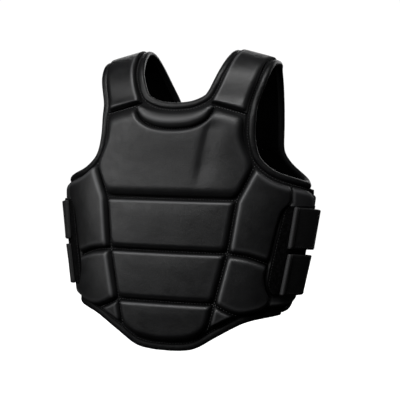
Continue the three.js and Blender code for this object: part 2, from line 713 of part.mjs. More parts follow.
// Back edges on the centre line
const backNeckLine = symmetric(BACK_NECK);
const backHemLine = [[WING_END, BACK_BOTTOM], [-WING_END, BACK_BOTTOM]];
const backNeckShares = evenSteps(BINDING_STEPS.backNeck, BACK_NECK_INSET, 1 - BACK_NECK_INSET);
const backNeckEdge = backStations(backNeckLine, backNeckShares);
const backHemEdge = backStations(backHemLine, evenSteps(BINDING_STEPS.backHem));
addPiece("back_neck_binding", "binding", edgeBar(backNeckEdge, BINDING, BACK_THICK));
addPiece("back_hem_binding", "binding", edgeBar(backHemEdge, BINDING, BACK_THICK));

export default guard;
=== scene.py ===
import math

import bpy
import numpy as np
from mathutils import Matrix, Vector, noise


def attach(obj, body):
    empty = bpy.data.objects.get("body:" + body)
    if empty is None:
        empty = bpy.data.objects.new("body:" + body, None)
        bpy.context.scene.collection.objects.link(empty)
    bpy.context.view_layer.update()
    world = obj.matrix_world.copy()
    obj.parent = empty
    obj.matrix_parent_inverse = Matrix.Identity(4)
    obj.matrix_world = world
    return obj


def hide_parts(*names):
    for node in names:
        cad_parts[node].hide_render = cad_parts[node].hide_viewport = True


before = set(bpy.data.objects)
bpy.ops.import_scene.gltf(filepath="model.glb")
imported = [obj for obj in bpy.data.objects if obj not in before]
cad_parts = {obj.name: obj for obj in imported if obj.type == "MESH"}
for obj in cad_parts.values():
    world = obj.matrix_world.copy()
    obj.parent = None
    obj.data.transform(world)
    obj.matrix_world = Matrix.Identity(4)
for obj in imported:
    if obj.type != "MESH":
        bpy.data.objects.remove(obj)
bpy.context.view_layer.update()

# Sizes in millimetres, +Z up, the front faces -Y
MM = 0.001
SHEET_THICK = 4.0
BACK_THICK = 7.0
PAD_FOOT = 4.2
PAD_BASE = 4.8
PAD_LIP = 3.4
PAD_RISE = 14.4
PAD_CROWN = 1.2
CROWN_REACH = 26.0
PAD_FLANGE = 0.9
PAD_BEVEL = 5.0
PAD_STEP = 4.0
BEVEL_POWER = 1.75
# Painted highlight along the crest of each pad's bevel: width as a share of the bevel, least width, place on
# the bevel, and fade towards the seam
CREASE = {"wide": 0.45, "least": 1.7, "place": 0.9, "fade": (0.4, 0.95)}
# Painted shade in the grooves: how strongly the leather near a seam is painted darker and duller, and over
# what share of the bevel this fades out
SEAM_PAINTED_SHADE = 0.9
SEAM_FADE = (0.15, 0.6)
SEAM_INSET = 0.35
CORNER_SOFT = 1.6
LAYER_GAP = 0.8
JOINT_GAP = 0.5
UNEVEN = {"height": 0.4, "wave": 42.0, "on_back": 1.2, "on_shoulder": 0.6}
SHARP_ANGLE = 55

# Neck roll, shoulder pads, gussets, flaps and the fold in the chest
ROLL_RISE = 11.5
ROLL_POWER = 2.0
ROLL_INSET = 0.006
ROLL_STEPS = {"fine": 1.2, "coarse": 3.0}
ROLL_ACROSS = (0.02, 0.98, 23)
ROLL_END = (0.8, 8.0)
# Neck roll's painted light: a painted highlight along its crest and painted shade towards its upper and lower
# edges
ROLL_CREST = 0.5
ROLL_HIGHLIGHT = {"high": 0.7, "place": 0, "wide": 0.15}
ROLL_FADE = (0.16, 0.46)
SHOULDER_BASE = 5.5
SHOULDER_FOOT = 4.6
SHOULDER_RISE = (10.0, 3.6)
SHOULDER_THINS = (0.03, 0.38)
SHOULDER_PAD_END = 0.74
SHOULDER_TAPER = {"wide": 4.0, "until": 0.13}
SHOULDER_FLANGE = {"neck": 4.2, "arm": 4.0}
SHOULDER_STEPS = {"fine": 1.2, "coarse": 3.5, "margin": 12.0}
GUSSET_RISE = 11.0
FLAP_RISE = 7.5
# Painted light: share by which the flap's whole face is painted lighter
FLAP_PAINTED_LIGHT = 0.2
CHEST_FOLD = {"deep": 2.9, "steep": 6.8, "gentle": 19.0, "high": (-94, -112), "low": (-206, -160)}
CHEST_FOLD_LINE = [(42, -214), (45, -180), (48.5, -155), (52, -130), (56, -112), (60, -99)]
FOLD_STEP = 2.2

# Pad edges: width of the bevel, strength of the painted highlight along the crease
UPPER_EDGE = (3.6, 1.0)
LOWER_EDGE = (9.0, 0.0)
CHEST_LOW_EDGE = (15.0, 0.0)
BELLY_EDGE = (7.5, 0.12)
NECK_EDGE = (4.6, 0.5)
ARM_EDGE = (10.0, 0.1)
STRAP_EDGE = (15.0, 0.2)
INNER_EDGE = (5.4, 1.0)
PANEL_TOP_EDGE = (6.5, 0.6)
PANEL_MIDDLE_EDGE = (6.5, 0.25)
PANEL_LOW_EDGE = (7.5, 0.25)
FLAP_SIDE_EDGE = (5.0, 0.0)
GUSSET_EDGE = (4.5, 0.4)
FLAP_RIM = (5.5, 0.9)
FLAP_FRONT = (4.0, 0.0)
FLAP_FRONT_TOP = (4.0, 0.6)
SHOULDER_EDGES = {"neck": (4.6, 0.8), "arm": (9.0, 0.0), "front": (9.0, 0.5), "rear": (6.0, 0.2)}

# Bindings, with the share of each edge that they cover
BINDING = {"wide": 10.2, "thick": 8.6}
SIDE_BINDING = {"wide": 7.0, "thick": 8.0}
BINDING_SIDES = 16
BINDING_REACH = math.cos(math.pi / 6) / 2
BINDING_LAP = 0.4
BINDING_POWER = 2.2
BINDING_PUCKER = {"height": 0.025, "wave": 6.0, "place": (3.1, 0.7)}
BINDING_END = {"reach": 2.0, "least": 0.55}
BINDING_ROUNDS = {"neck": 10, "arm": 8, "edge": 4}
# Painted shade: the hem binding is painted darker and duller all along
HEM_SHADE = -0.5
# Painted light: the side bindings are painted lighter all along
SIDE_SHADE = 0.25
# Painted shade: how much darker and duller the armhole binding is painted behind the shoulder, and over what
# depth this fades in
REAR_SHADE = {"dull": 0.8, "fade": (-5.0, 25.0)}
ARM_START = {"front": 0.05, "back": 0.01}
ARM_THICKEN = (-6.0, 2.0)
BACK_NECK_SPAN = (0.05, 0.95)
SIDE_SPAN = (0.0, 0.96)
FRONT_RUN_STEP = 3.0
BACK_RUN_STEP = 4.0

# Hook patches and side straps
PATCH_THICK = 2.0
PATCH_BASE = PAD_BASE + FLAP_RISE + LAYER_GAP
PATCH_TOP = PATCH_BASE + PATCH_THICK
PATCH_RIM = {"least": 0.45, "wide": 1.6}
PATCH_GROOVE = {"high": 0.5, "place": 3.2, "wide": 1.0}
WEB_THICK = 3.0
WEB_WIDE = 60.0
WEB_FOLD = 6.6
WEB_CORNER = 2.6
WEB_CORNER_REACH = 3.0
WEB_BEAD = {"reach": 1.3, "steps": 22, "power": 0.7, "swell": 1.05}
WEB_TIP = {"reach": 3.0, "least": 0.12}
WEB_NOTCH = {"high": 0.35, "place": 1.12 * WEB_FOLD, "wide": 0.8}
WEB_RIM = {"reach": 2.0, "least": 0.3}
WEB_EDGE = np.array([0, 0.006, 0.016, 0.03])
WEB_MIDDLE = (0.06, 0.94, 16)
WEB_STEPS = 90
WEB_SAMPLES = 600
WEB_LOOK = 0.01
WEB_STITCH = {"across": 0.075, "past": 3.0}
# Painted highlight on the webbing's folded bead: strength by side, stronger on the right strap, and bands by
# place in folds
WEB_HIGHLIGHT_BY_SIDE = {1: 1.0, -1: 0.3}
WEB_HIGHLIGHTS = ({"high": 0.6, "place": 0.05, "wide": 0.16}, {"high": 0.4, "place": 0.82, "wide": 0.16})
WEB_LEVELS = {
    "upper": {"top": -221.5, "start": 0.773, "lean": 0.0004},
    "lower": {"top": -289.0, "start": 0.768, "lean": 0.0006},
}
WEB_SLANT = {"past": 2.0, "slope": 0.05}
WEB_DROOP = 5.0
WEB_ON_PATCH = PAD_BASE + FLAP_RISE + PATCH_THICK + 2 * LAYER_GAP + JOINT_GAP
WEB_ON_FLAP = (0.0, 0.33, 0.69, 1.0)
WEB_FLAP_END = 0.95
WEB_ROUND_EDGE = ((1, 12), (5, 4))
WEB_ON_WING = ((236, 3.0), (210, LAYER_GAP), (188, LAYER_GAP), (165, LAYER_GAP))
FLAP_REACH = {"z": -205.0, "girth": 226.5, "slope": 0.11}

# Stitching
STITCH = {"pitch": 4.2, "long": 2.6, "wide": 1.0, "flat": 0.8, "sides": 6, "step": 2.0}
# One stitch by its rings: place along, half width, height
STITCH_FORM = np.array([
    (-0.5, 0.3, -0.25), (-0.36, 0.85, -0.05), (0.0, 1.0, 0.08), (0.36, 0.85, -0.05), (0.5, 0.3, -0.25),
]) * (STITCH["long"], STITCH["wide"] / 2, 1.0)
STITCH_INSET = 1.9
PATCH_STITCH = 2.0
SEAM_OUT = PAD_BASE + PAD_LIP + 0.35
EDGE_OUT = SHEET_THICK + 0.2
PATCH_OUT = PATCH_TOP - 0.3
LAP = 1.2

# Grid steps of the sheets
SHEET_STEPS = {"top": (40, 18, 44, 18, 40), "rows": 91}
BACK_STEPS = (70, 16, 40, 16, 70)
BACK_ROWS = {"length": 200.0, "fine": 2.0, "coarse": 6.0, "margin": 16.0}
BACK_EDGE = {"deep": 2.2, "reach": 6.0}
STRAP_STEPS = (22, 150)
STRAP_SAMPLES = 200
STRAP_LOOK = 0.01
PATCH_STEPS = (25, 65)
GRADED_LEAST = 2.4
TINY = 1e-12

# Front form by level: height, depth of the front centre, girth from front centre to back centre
FRONT_LEVELS = np.array([
    (-30, -78, 498), (-60, -97, 500), (-85, -105, 502), (-110, -109, 502), (-160, -112, 502),
    (-214, -118, 495), (-290, -125, 458), (-363, -130, 414), (-435, -132, 388),
], float)
FRONT_FLATNESS = 0.9

# Back form by level: height, half width, middle of the depth, rearmost line
BACK_LEVELS = np.array([
    (-130, 180, -20, 91), (-200, 178, -18, 94), (-280, 165, -20, 90), (-360, 149, -24, 84),
], float)
BACK_ARC = 150.0
WING_END = 292.0
BACK_BOTTOM = -356.0
BACK_NECK = [(0, -149), (24, -146.5), (46, -136.6)]
BACK_STRAP = [(46, -136.6), (106, -136.6)]
BACK_ARM = [
    (106, -136.6), (112, -149), (127, -164), (150, -176.5), (185, -188), (232, -198), (WING_END, -202),
]
BACK_HEM = [(WING_END, BACK_BOTTOM), (-WING_END, BACK_BOTTOM)]

# Seams and edges of the front, right half: girth from the front centre, height
CHEST_SEAM = [(0, -214), (98, -214)]
BELLY_SEAM = [(0, -290), (88, -290)]
WAIST_SEAM = [(0, -363), (72, -363)]
HEM_PAD_LINE = [(0, -421), (42, -415.5), (64, -401)]
CHEST_SIDE = [(98, -214), (121, -163)]
BELLY_SIDE = [(88, -290), (98, -214)]
WAIST_SIDE = [(72, -363), (88, -290)]
HEM_SIDE = [(64, -401), (72, -363)]
CHEST_ARM = [(121, -163), (106, -125), (105.5, -90)]
SIDE_ARM = [(121, -163), (146, -181.5), (173, -190.5)]
CHEST_STRAP = [(61, -78), (105.5, -90)]
NECK_ROLL_LOW = [(0, -111.5), (19, -110.2), (36, -106), (51, -96), (61, -78)]
NECK_ROLL_HIGH = [(0, -86), (22, -84.6), (40, -80.5), (52, -76)]
SIDE_PANEL_SEAM = [(88, -290), (116, -294), (143.5, -304)]
SIDE_PANEL_LOW = [(72, -363), (90, -373), (108, -378), (128, -374.5), (143, -368)]
GUSSET_SEAM = [(72, -363), (88, -372), (104, -378.5)]
GUSSET_TIP = [(65, -396), (69, -398)]
GUSSET_SIDE = [(65, -396), (72, -363)]
GUSSET_HEM = [(69, -398), (85, -388.5), (104, -378.5)]
FLAP_SEAM_LOW = [(143, -368), (147, -353), (142, -340), (139.5, -322), (143.5, -304)]
FLAP_SEAM_HIGH = [(143.5, -304), (149.5, -275), (155, -248), (161, -229), (172, -216), (173, -190.5)]
FLAP_LOW = [(143, -368), (179, -367.5)]
FLAP_HIGH = [(173, -190.5), (207, -198)]
FLAP_EDGE = [
    (179, -367.5), (197.5, -362.5), (205, -349), (212.5, -282), (218, -223), (217, -209), (207, -198),
]
PATCH_LOW = [(149, -349), (188, -349)]
PATCH_HIGH = [(168, -220), (214, -220)]
PATCH_FRONT = [
    (149, -349), (144, -341), (142.5, -327), (149.5, -286), (158, -245), (162.5, -226), (168, -220),
]
PATCH_REAR = [(188, -349), (204, -285), (214, -220)]
SHEET_NECK = [(0, -82), (20, -80.5), (34, -76.8), (45, -71.3)]
SHEET_STRAP = [(45, -71.3), (111, -91.8)]
SHEET_ARM = [(111, -91.8), (111.5, -124), (121, -156.5), (147, -178.2), (181, -188.5), (222, -197)]
SHEET_SIDE = [(175, -371), (206, -357), (214.5, -280), (222.5, -214), (222, -197)]
SHEET_HEM = [
    (0, -425.5), (24, -424.5), (43.5, -420), (70, -403.5), (106, -383.5), (134, -375.5), (175, -371),
]

# Right shoulder strap: neck edge and arm edge from the chest over the shoulder
STRAP_NECK = [
    (52.2, -98.5, -65), (66, -87, -32), (72.5, -62, -8), (76, -34, 5.5), (77.5, -2, 5), (75.5, 29, -11),
    (68, 54, -38.5), (57.5, 70, -68), (52, 79, -100),
]
STRAP_ARM = [
    (111.6, -90, -73), (121.5, -77, -36), (126, -56, -15.5), (128, -31, -8), (126.5, -2, -8),
    (120, 28, -14), (117.5, 51, -34), (116, 66, -63), (116, 70, -100),
]
STRAP_FOOT_Z = -136.0
STRAP_FOOT = {"neck": 46.0, "arm": 106.0}


# Lines

def hermite(start, end, leave, arrive, w):
    cubic = (2 * start - 2 * end + leave + arrive) * w**3
    square = (3 * end - 3 * start - 2 * leave - arrive) * w**2
    return cubic + square + leave * w + start


def spline(points, per=40):
    p = np.asarray(points, float)
    n = len(p) - 1
    t = np.linspace(0, n, n * per + 1)
    i = np.minimum(t.astype(int), n - 1)
    before, start, end, after = p[np.maximum(i - 1, 0)], p[i], p[i + 1], p[np.minimum(i + 2, n)]
    return hermite(start, end, (end - before) / 2, (after - start) / 2, (t - i)[:, None])


def space_spline(points, t):
    """Smooth curve in space through the points, with each span in proportion to its own length."""
    p = np.asarray(points, float)
    p = np.concatenate([[2 * p[0] - p[1]], p, [2 * p[-1] - p[-2]]])
    n = len(p) - 3
    place = np.clip(np.asarray(t, float), 0, 1) * n
    i = np.minimum(place.astype(int), n - 1)
    a, b, c, d = p[i], p[i + 1], p[i + 2], p[i + 3]
    before, here, after = (
        np.sqrt(np.linalg.norm(end - start, axis=1))[:, None] for start, end in ((a, b), (b, c), (c, d))
    )
    leave = ((b - a) / before - (c - a) / (before + here) + (c - b) / here) * here
    arrive = ((c - b) / here - (d - b) / (here + after) + (d - c) / after) * here
    return hermite(b, c, leave, arrive, (place - i)[:, None])


def running_sum(steps):
    return np.concatenate([[0], np.cumsum(steps)])


class Line:
    """A line through points, read by its share of the length. Other values by point can be read too."""

    def __init__(self, points):
        self.points = np.asarray(points, float)
        steps = np.linalg.norm(np.diff(self.points, axis=0), axis=1)
        self.length = steps.sum()
        self.along = running_sum(steps)
        self.shares = self.along / self.length

    def at(self, t, values=None):
        columns = (self.points if values is None else values).T
        return np.stack([np.interp(t, self.shares, column) for column in columns], -1)

    def heading(self, t, look):
        return unit(self.at(np.minimum(t + look, 1)) - self.at(np.maximum(t - look, 0)))


def chain(*parts):
    dense = [spline(part) for part in parts]
    return Line(np.concatenate(dense[:1] + [part[1:] for part in dense[1:]]))


def mirrored(points):
    return [(-u, z) for u, z in points]


def symmetric(points):
    return mirrored(points)[::-1] + list(points[1:])


def even(length, step):
    return np.linspace(0, 1, max(2, int(round(length / step)) + 1))


def graded(length, fine=1.3, coarse=PAD_STEP, margin=14.0):
    """Shares of a length, close together near both ends."""
    if length < GRADED_LEAST * margin:
        return even(length, fine)
    edge = np.arange(0, margin, fine)
    inner = length - 2 * margin
    middle = margin + inner * even(inner, coarse)
    return np.concatenate([edge, middle, length - edge[::-1]]) / length


def inside(shares, inset):
    return inset + shares * (1 - 2 * inset)


def distance_to(line, spots):
    along = np.diff(line.points, axis=0)
    best = np.full(spots.shape[:-1], np.inf)
    for start, step, size in zip(line.points[:-1], along, (along**2).sum(1)):
        gap = spots - start
        t = np.clip(gap @ step / max(size, TINY), 0, 1)
        best = np.minimum(best, ((gap - t[..., None] * step) ** 2).sum(-1))
    return np.sqrt(best)


# Forms

def level_values(rows, z):
    last = len(rows) - 1
    heights, values = rows[:, 0], rows[:, 1:]
    index = np.arange(last + 1)
    before, after = np.maximum(index - 1, 0), np.minimum(index + 1, last)
    slopes = (values[after] - values[before]) / (heights[after] - heights[before])[:, None]
    i = np.searchsorted(-heights[1:last], -z, side="left")
    span = (heights[i + 1] - heights[i])[:, None]
    t = (z[:, None] - heights[i][:, None]) / span
    return hermite(values[i], values[i + 1], span * slopes[i], span * slopes[i + 1], t).T


def section_turn(share):
    full = 2 * math.pi
    return math.pi * (share - FRONT_FLATNESS * np.sin(full * share) / full)


SECTION_STEPS = 400
SECTION_SHARES = np.linspace(0, 1, SECTION_STEPS + 1)
SECTION_TURNS = section_turn((SECTION_SHARES[:-1] + SECTION_SHARES[1:]) / 2)
SECTION_ACROSS = running_sum(np.cos(SECTION_TURNS)) / SECTION_STEPS
SECTION_DEEP = running_sum(np.sin(SECTION_TURNS)) / SECTION_STEPS


def flat_rows(*values):
    """The values over one common grid, each as a flat row, and the shape that points over it have."""
    grids = np.broadcast_arrays(*(np.asarray(value, float) for value in values))
    return [grid.ravel() for grid in grids], grids[0].shape + (3,)


def front_point(u, z, out):
    (u, z, out), shape = flat_rows(u, z, out)
    front_y, half_girth = level_values(FRONT_LEVELS, z)
    share = np.abs(u) / half_girth
    turn = section_turn(share)
    across = np.interp(share, SECTION_SHARES, SECTION_ACROSS) * half_girth
    deep = np.interp(share, SECTION_SHARES, SECTION_DEEP) * half_girth
    x = np.sign(u) * (across + out * np.sin(turn))
    y = front_y + deep - out * np.cos(turn)
    return np.stack([x, y, z], -1).reshape(shape)


def on_front(spots, out):
    return front_point(spots[..., 0], spots[..., 1], out)


def unit(vectors):
    return vectors / np.maximum(np.linalg.norm(vectors, axis=-1, keepdims=True), TINY)


def square_to(forward, vectors):
    return unit(vectors - forward * (vectors * forward).sum(1, keepdims=True))


def front_normal(u, z):
    along = front_point(u + 1, z, 0) - front_point(u - 1, z, 0)
    up = front_point(u, z + 1, 0) - front_point(u, z - 1, 0)
    return unit(np.cross(along, up))


def back_point(v, z, out):
    (v, z, out), shape = flat_rows(v, z, out)
    half_wide, middle, back = level_values(BACK_LEVELS, z)
    turn = v / BACK_ARC
    half_deep = back - middle
    point = np.stack([half_wide * np.sin(turn), middle + half_deep * np.cos(turn), z], -1)
    normal = unit(np.stack([np.sin(turn) * half_deep, np.cos(turn) * half_wide, 0 * z], -1))
    return (point + normal * out[:, None]).reshape(shape)


def back_normal(v, z):
    return back_point(v, z, 1) - back_point(v, z, 0)


def strap_edge(middle, chest_end, foot):
    start = front_point(*chest_end, 0)
    end = back_point(foot, STRAP_FOOT_Z, 0)
    return np.concatenate([[start], middle, [end]])


STRAP_NECK_EDGE = strap_edge(STRAP_NECK, SHEET_STRAP[0], STRAP_FOOT["neck"])
STRAP_ARM_EDGE = strap_edge(STRAP_ARM, SHEET_STRAP[1], STRAP_FOOT["arm"])
STRAP_WIDE = SHEET_STRAP[1][0] - SHEET_STRAP[0][0]
STRAP_LENGTH = np.mean([
    Line(space_spline(edge, np.linspace(0, 1, STRAP_SAMPLES))).length
    for edge in (STRAP_NECK_EDGE, STRAP_ARM_EDGE)
])


def strap_middle(across, along):
    neck, arm = space_spline(STRAP_NECK_EDGE, along), space_spline(STRAP_ARM_EDGE, along)
    return neck + (arm - neck) * across[:, None]


def strap_normal(across, along):
    ahead, behind = np.minimum(along + STRAP_LOOK, 1), np.maximum(along - STRAP_LOOK, 0)
    forward = strap_middle(across, ahead) - strap_middle(across, behind)
    wide = space_spline(STRAP_ARM_EDGE, along) - space_spline(STRAP_NECK_EDGE, along)
    return unit(np.cross(wide, forward))


def strap_point(across, along, out):
    (across, along, out), shape = flat_rows(across, along, out)
    points = strap_middle(across, along) + strap_normal(across, along) * out[:, None]
    return points.reshape(shape)


# Materials

# Noise: scale, detail
NOISE = {
    "fine": (1900.0, 2.0), "soft": (70.0, 4.0), "broad": (14.0, 3.0), "mottle": (380.0, 3.0),
    "folds": (190.0, 2.0), "lining": (25.0, 3.0), "fuzz": (900.0, 3.0), "pile": (1400.0, 3.0),
    "tufts": (330.0, 2.0), "twist": (1500.0, 2.0),
}
NOISE_ROUGH = 0.55
FOLDS_ROUGH = 0.4

# Relief: strength, depth in metres
RELIEF = {
    "folds": (1.0, 0.0015), "soft": (0.25, 0.0012), "mottle": (0.22, 0.0006), "pebble": (1.0, 0.00016),
    "fine": (0.6, 0.00008), "lining": (0.2, 0.001), "cloth": (0.4, 0.0003), "weave": (0.5, 0.0005),
    "fuzz": (0.2, 0.0003), "hooks": (0.7, 0.0006), "pile": (0.4, 0.0003), "twist": (0.4, 0.0003),
}

# Cells of each pattern to the metre
CELLS = {"pebble": 780.0, "cloth": 900.0, "hooks": 620.0}

# Spans of a pattern or of the painted light and shade that a look runs over
PEBBLE_SPAN = (0.0, 0.32)
SHADE_SPAN = (0.3, 1.1)
ROUGH_SPAN = (0.25, 0.75)
HIGHLIGHT_SPAN = (0.0, 1.0)
SEAM_SPAN = (-1.0, 0.0)
WEAVE_SPAN = (0.3, 1.2)
TUFT_SPAN = (0.4, 0.7)

# Painted highlight colour that lit crests and bands are painted towards. Below zero the same per-point values
# paint shade: darker, rougher and with less specular
HIGHLIGHT_COLOUR = (0.1, 0.101, 0.104, 1)
PAINTED_LIGHT_TONE = 0.22
PAINTED_LIGHT_ROUGH = -0.1
DULL = 0.15
SEAM_ROUGH = 0.3
WEAVE_WAVES = (("Y", 150.0, 0.6), ("X", 210.0, 0.4))
WEAVE_SHARE = 0.7
MIX_INPUTS = (6, 7)
MIX_RESULT = 2

# Dark and light tone of each material
LEATHER_TONES = ((0.0055, 0.0056, 0.006), (0.02, 0.0205, 0.0215))
BINDING_TONES = ((0.0045, 0.0046, 0.005), (0.013, 0.0133, 0.014))
# The lining's dark cloth, painted darker still as painted shade inside the guard
LINING_TONES = ((0.0007, 0.0007, 0.0008), (0.0016, 0.0016, 0.0017))
WEB_TONES = ((0.0022, 0.0022, 0.0024), (0.008, 0.008, 0.0084))
# Tones of the painted highlight on the webbing
WEB_HIGHLIGHT_TONES = ((0.03, 0.03, 0.031), (0.17, 0.17, 0.175))
HOOK_TONES = ((0.0008, 0.0008, 0.0009), (0.009, 0.009, 0.0095))
# One thread in three tones: the seam thread is painted lighter so that it shows as lit down in the shaded
# grooves
THREAD_TONES = {
    "seam": ((0.04, 0.04, 0.041), (0.12, 0.12, 0.122)),
    "edge": ((0.014, 0.014, 0.0143), (0.045, 0.045, 0.046)),
    "patch": ((0.006, 0.006, 0.0062), (0.02, 0.02, 0.0205)),
}


def feed(tree, node, inputs):
    for key, value in inputs.items():
        if isinstance(value, bpy.types.NodeSocket):
            tree.links.new(value, node.inputs[key])
        else:
            node.inputs[key].default_value = value


def add_node(tree, kind, inputs=None, **settings):
    node = tree.nodes.new(kind)
    for key, value in settings.items():
        setattr(node, key, value)
    feed(tree, node, inputs or {})
    return node


def coordinates(tree, kind="Object"):
    return add_node(tree, "ShaderNodeTexCoord").outputs[kind]


# Per-point painted light and shade: above zero a painted highlight, below zero painted shade
def painted_light_share(tree):
    return add_node(tree, "ShaderNodeAttribute", attribute_name="painted_light").outputs["Fac"]


def calculate(tree, operation, *values):
    return add_node(tree, "ShaderNodeMath", dict(enumerate(values)), operation=operation).outputs[0]


def blend(tree, share, first, second):
    inputs = {"Factor": share, MIX_INPUTS[0]: first, MIX_INPUTS[1]: second}
    return add_node(tree, "ShaderNodeMix", inputs, data_type="RGBA").outputs[MIX_RESULT]


def remap(tree, value, span, to=(0.0, 1.0)):
    inputs = {"Value": value, "From Min": span[0], "From Max": span[1], "To Min": to[0], "To Max": to[1]}
    return add_node(tree, "ShaderNodeMapRange", inputs).outputs["Result"]


def tones(tree, share, pair):
    ramp = add_node(tree, "ShaderNodeValToRGB", {"Fac": share})
    for stop, colour in zip(ramp.color_ramp.elements, pair):
        stop.color = (*colour, 1)
    return ramp.outputs["Color"]


def noise_value(tree, place, name, rough=NOISE_ROUGH):
    scale, detail = NOISE[name]
    inputs = {"Vector": place, "Scale": scale, "Detail": detail, "Roughness": rough}
    return add_node(tree, "ShaderNodeTexNoise", inputs).outputs["Fac"]


def cells(tree, place, name, **settings):
    inputs = {"Vector": place, "Scale": CELLS[name]}
    return add_node(tree, "ShaderNodeTexVoronoi", inputs, **settings).outputs["Distance"]


def relief(tree, heights, **scales):
    """Stacks relief layers by name, some with their strength scaled."""
    normal = None
    for name, height in heights.items():
        strength, depth = RELIEF[name]
        inputs = {"Height": height, "Strength": strength * scales.get(name, 1.0), "Distance": depth}
        if normal:
            inputs["Normal"] = normal
        normal = add_node(tree, "ShaderNodeBump", inputs).outputs["Normal"]
    return normal


def leather_looks(tree, pair, rough, grain, gloss, pucker=0.0):
    place = coordinates(tree)
    painted_light = painted_light_share(tree)
    names = ("fine", "soft", "broad", "mottle")
    fine, soft, broad, mottle = (noise_value(tree, place, name) for name in names)
    # Painted light and shade lifts or lowers the tone and blends towards the painted highlight colour. Below
    # zero it makes the leather rougher and less specular, as painted shade
    shade = calculate(tree, "MULTIPLY_ADD", painted_light, PAINTED_LIGHT_TONE, broad)
    colour = tones(tree, remap(tree, shade, SHADE_SPAN), pair)
    face_rough = remap(tree, calculate(tree, "MULTIPLY_ADD", painted_light, PAINTED_LIGHT_ROUGH, soft), ROUGH_SPAN, rough)
    seam_rough = remap(tree, painted_light, SEAM_SPAN, (SEAM_ROUGH, 0.0))
    heights = {"folds": noise_value(tree, place, "folds", FOLDS_ROUGH)} if pucker else {}
    pebble = remap(tree, cells(tree, place, "pebble", feature="DISTANCE_TO_EDGE"), PEBBLE_SPAN)
    heights.update(soft=soft, mottle=mottle, pebble=pebble, fine=fine)
    return {
        "Base Color": blend(tree, remap(tree, painted_light, HIGHLIGHT_SPAN), colour, HIGHLIGHT_COLOUR),
        "Roughness": calculate(tree, "ADD", face_rough, seam_rough),
        "Specular IOR Level": remap(tree, painted_light, SEAM_SPAN, (DULL * gloss, gloss)),
        "Normal": relief(tree, heights, folds=pucker, pebble=grain, fine=grain),
    }


def lining_looks(tree):
    place = coordinates(tree)
    broad = noise_value(tree, place, "lining")
    heights = {"lining": broad, "cloth": cells(tree, place, "cloth", distance="MANHATTAN")}
    return {
        "Base Color": tones(tree, broad, LINING_TONES),
        "Roughness": 0.9,
        "Specular IOR Level": 0.04,
        "Normal": relief(tree, heights),
    }


def webbing_looks(tree):
    """Woven tape: ribs along the strap crossed by finer weft, from the strap's own flat coordinates."""
    flat = coordinates(tree, "UV")
    waves = []
    for bands, scale, distortion in WEAVE_WAVES:
        inputs = {"Vector": flat, "Scale": scale, "Distortion": distortion, "Detail": 1.0}
        waves.append(add_node(tree, "ShaderNodeTexWave", inputs, bands_direction=bands).outputs["Fac"])
    weave = calculate(tree, "MULTIPLY", *waves)
    fuzz = noise_value(tree, coordinates(tree), "fuzz")
    mixed = remap(tree, calculate(tree, "MULTIPLY_ADD", weave, WEAVE_SHARE, fuzz), WEAVE_SPAN)
    # Painted highlight: the webbing blends towards lighter tones where the per-point values are set
    face, painted_highlight = tones(tree, mixed, WEB_TONES), tones(tree, mixed, WEB_HIGHLIGHT_TONES)
    return {
        "Base Color": blend(tree, painted_light_share(tree), face, painted_highlight),
        "Roughness": 0.72,
        "Specular IOR Level": 0.3,
        "Sheen Weight": 0.05,
        "Sheen Roughness": 0.5,
        "Normal": relief(tree, {"weave": weave, "fuzz": fuzz}),
    }


def hook_looks(tree):
    place = coordinates(tree)
    tufts = remap(tree, noise_value(tree, place, "tufts"), TUFT_SPAN)
    heights = {"hooks": cells(tree, place, "hooks"), "pile": noise_value(tree, place, "pile")}
    return {
        "Base Color": tones(tree, tufts, HOOK_TONES),
        "Roughness": 0.95,
        "Specular IOR Level": 0.08,
        "Normal": relief(tree, heights),
    }


def thread_looks(tree, pair):
    twist = noise_value(tree, coordinates(tree), "twist")
    return {
        "Base Color": tones(tree, twist, pair), "Roughness": 0.5, "Normal": relief(tree, {"twist": twist}),
    }


def surface(name, looks, *values, **named):
    """A material whose shader takes what the looks give for its node tree."""
    material = bpy.data.materials.new(name)
    material.use_nodes = True
    tree = material.node_tree
    feed(tree, tree.nodes["Principled BSDF"], looks(tree, *values, **named))
    return material


LEATHER = surface("leather", leather_looks, LEATHER_TONES, rough=(0.36, 0.5), grain=0.35, gloss=0.5)
BINDING_LEATHER = surface(
    "binding", leather_looks, BINDING_TONES, rough=(0.34, 0.5), grain=0.25, gloss=0.36, pucker=0.35
)
LINING = surface("lining", lining_looks)
LINED = [LEATHER, LINING]
WEBBING = surface("webbing", webbing_looks)
HOOK = surface("hook_patch", hook_looks)


# Meshes

def add_object(name, data):
    added = bpy.data.objects.new(name, data)
    bpy.context.scene.collection.objects.link(added)
    return added


def to_side(points, side):
    return np.asarray(points, float) * np.array([side, 1.0, 1.0])


def signed_volume(points, faces):
    corners = [(face[0], face[i], face[i + 1]) for face in faces for i in range(1, len(face) - 1)]
    a, b, c = points[np.array(corners).T]
    return (a * np.cross(b, c)).sum()


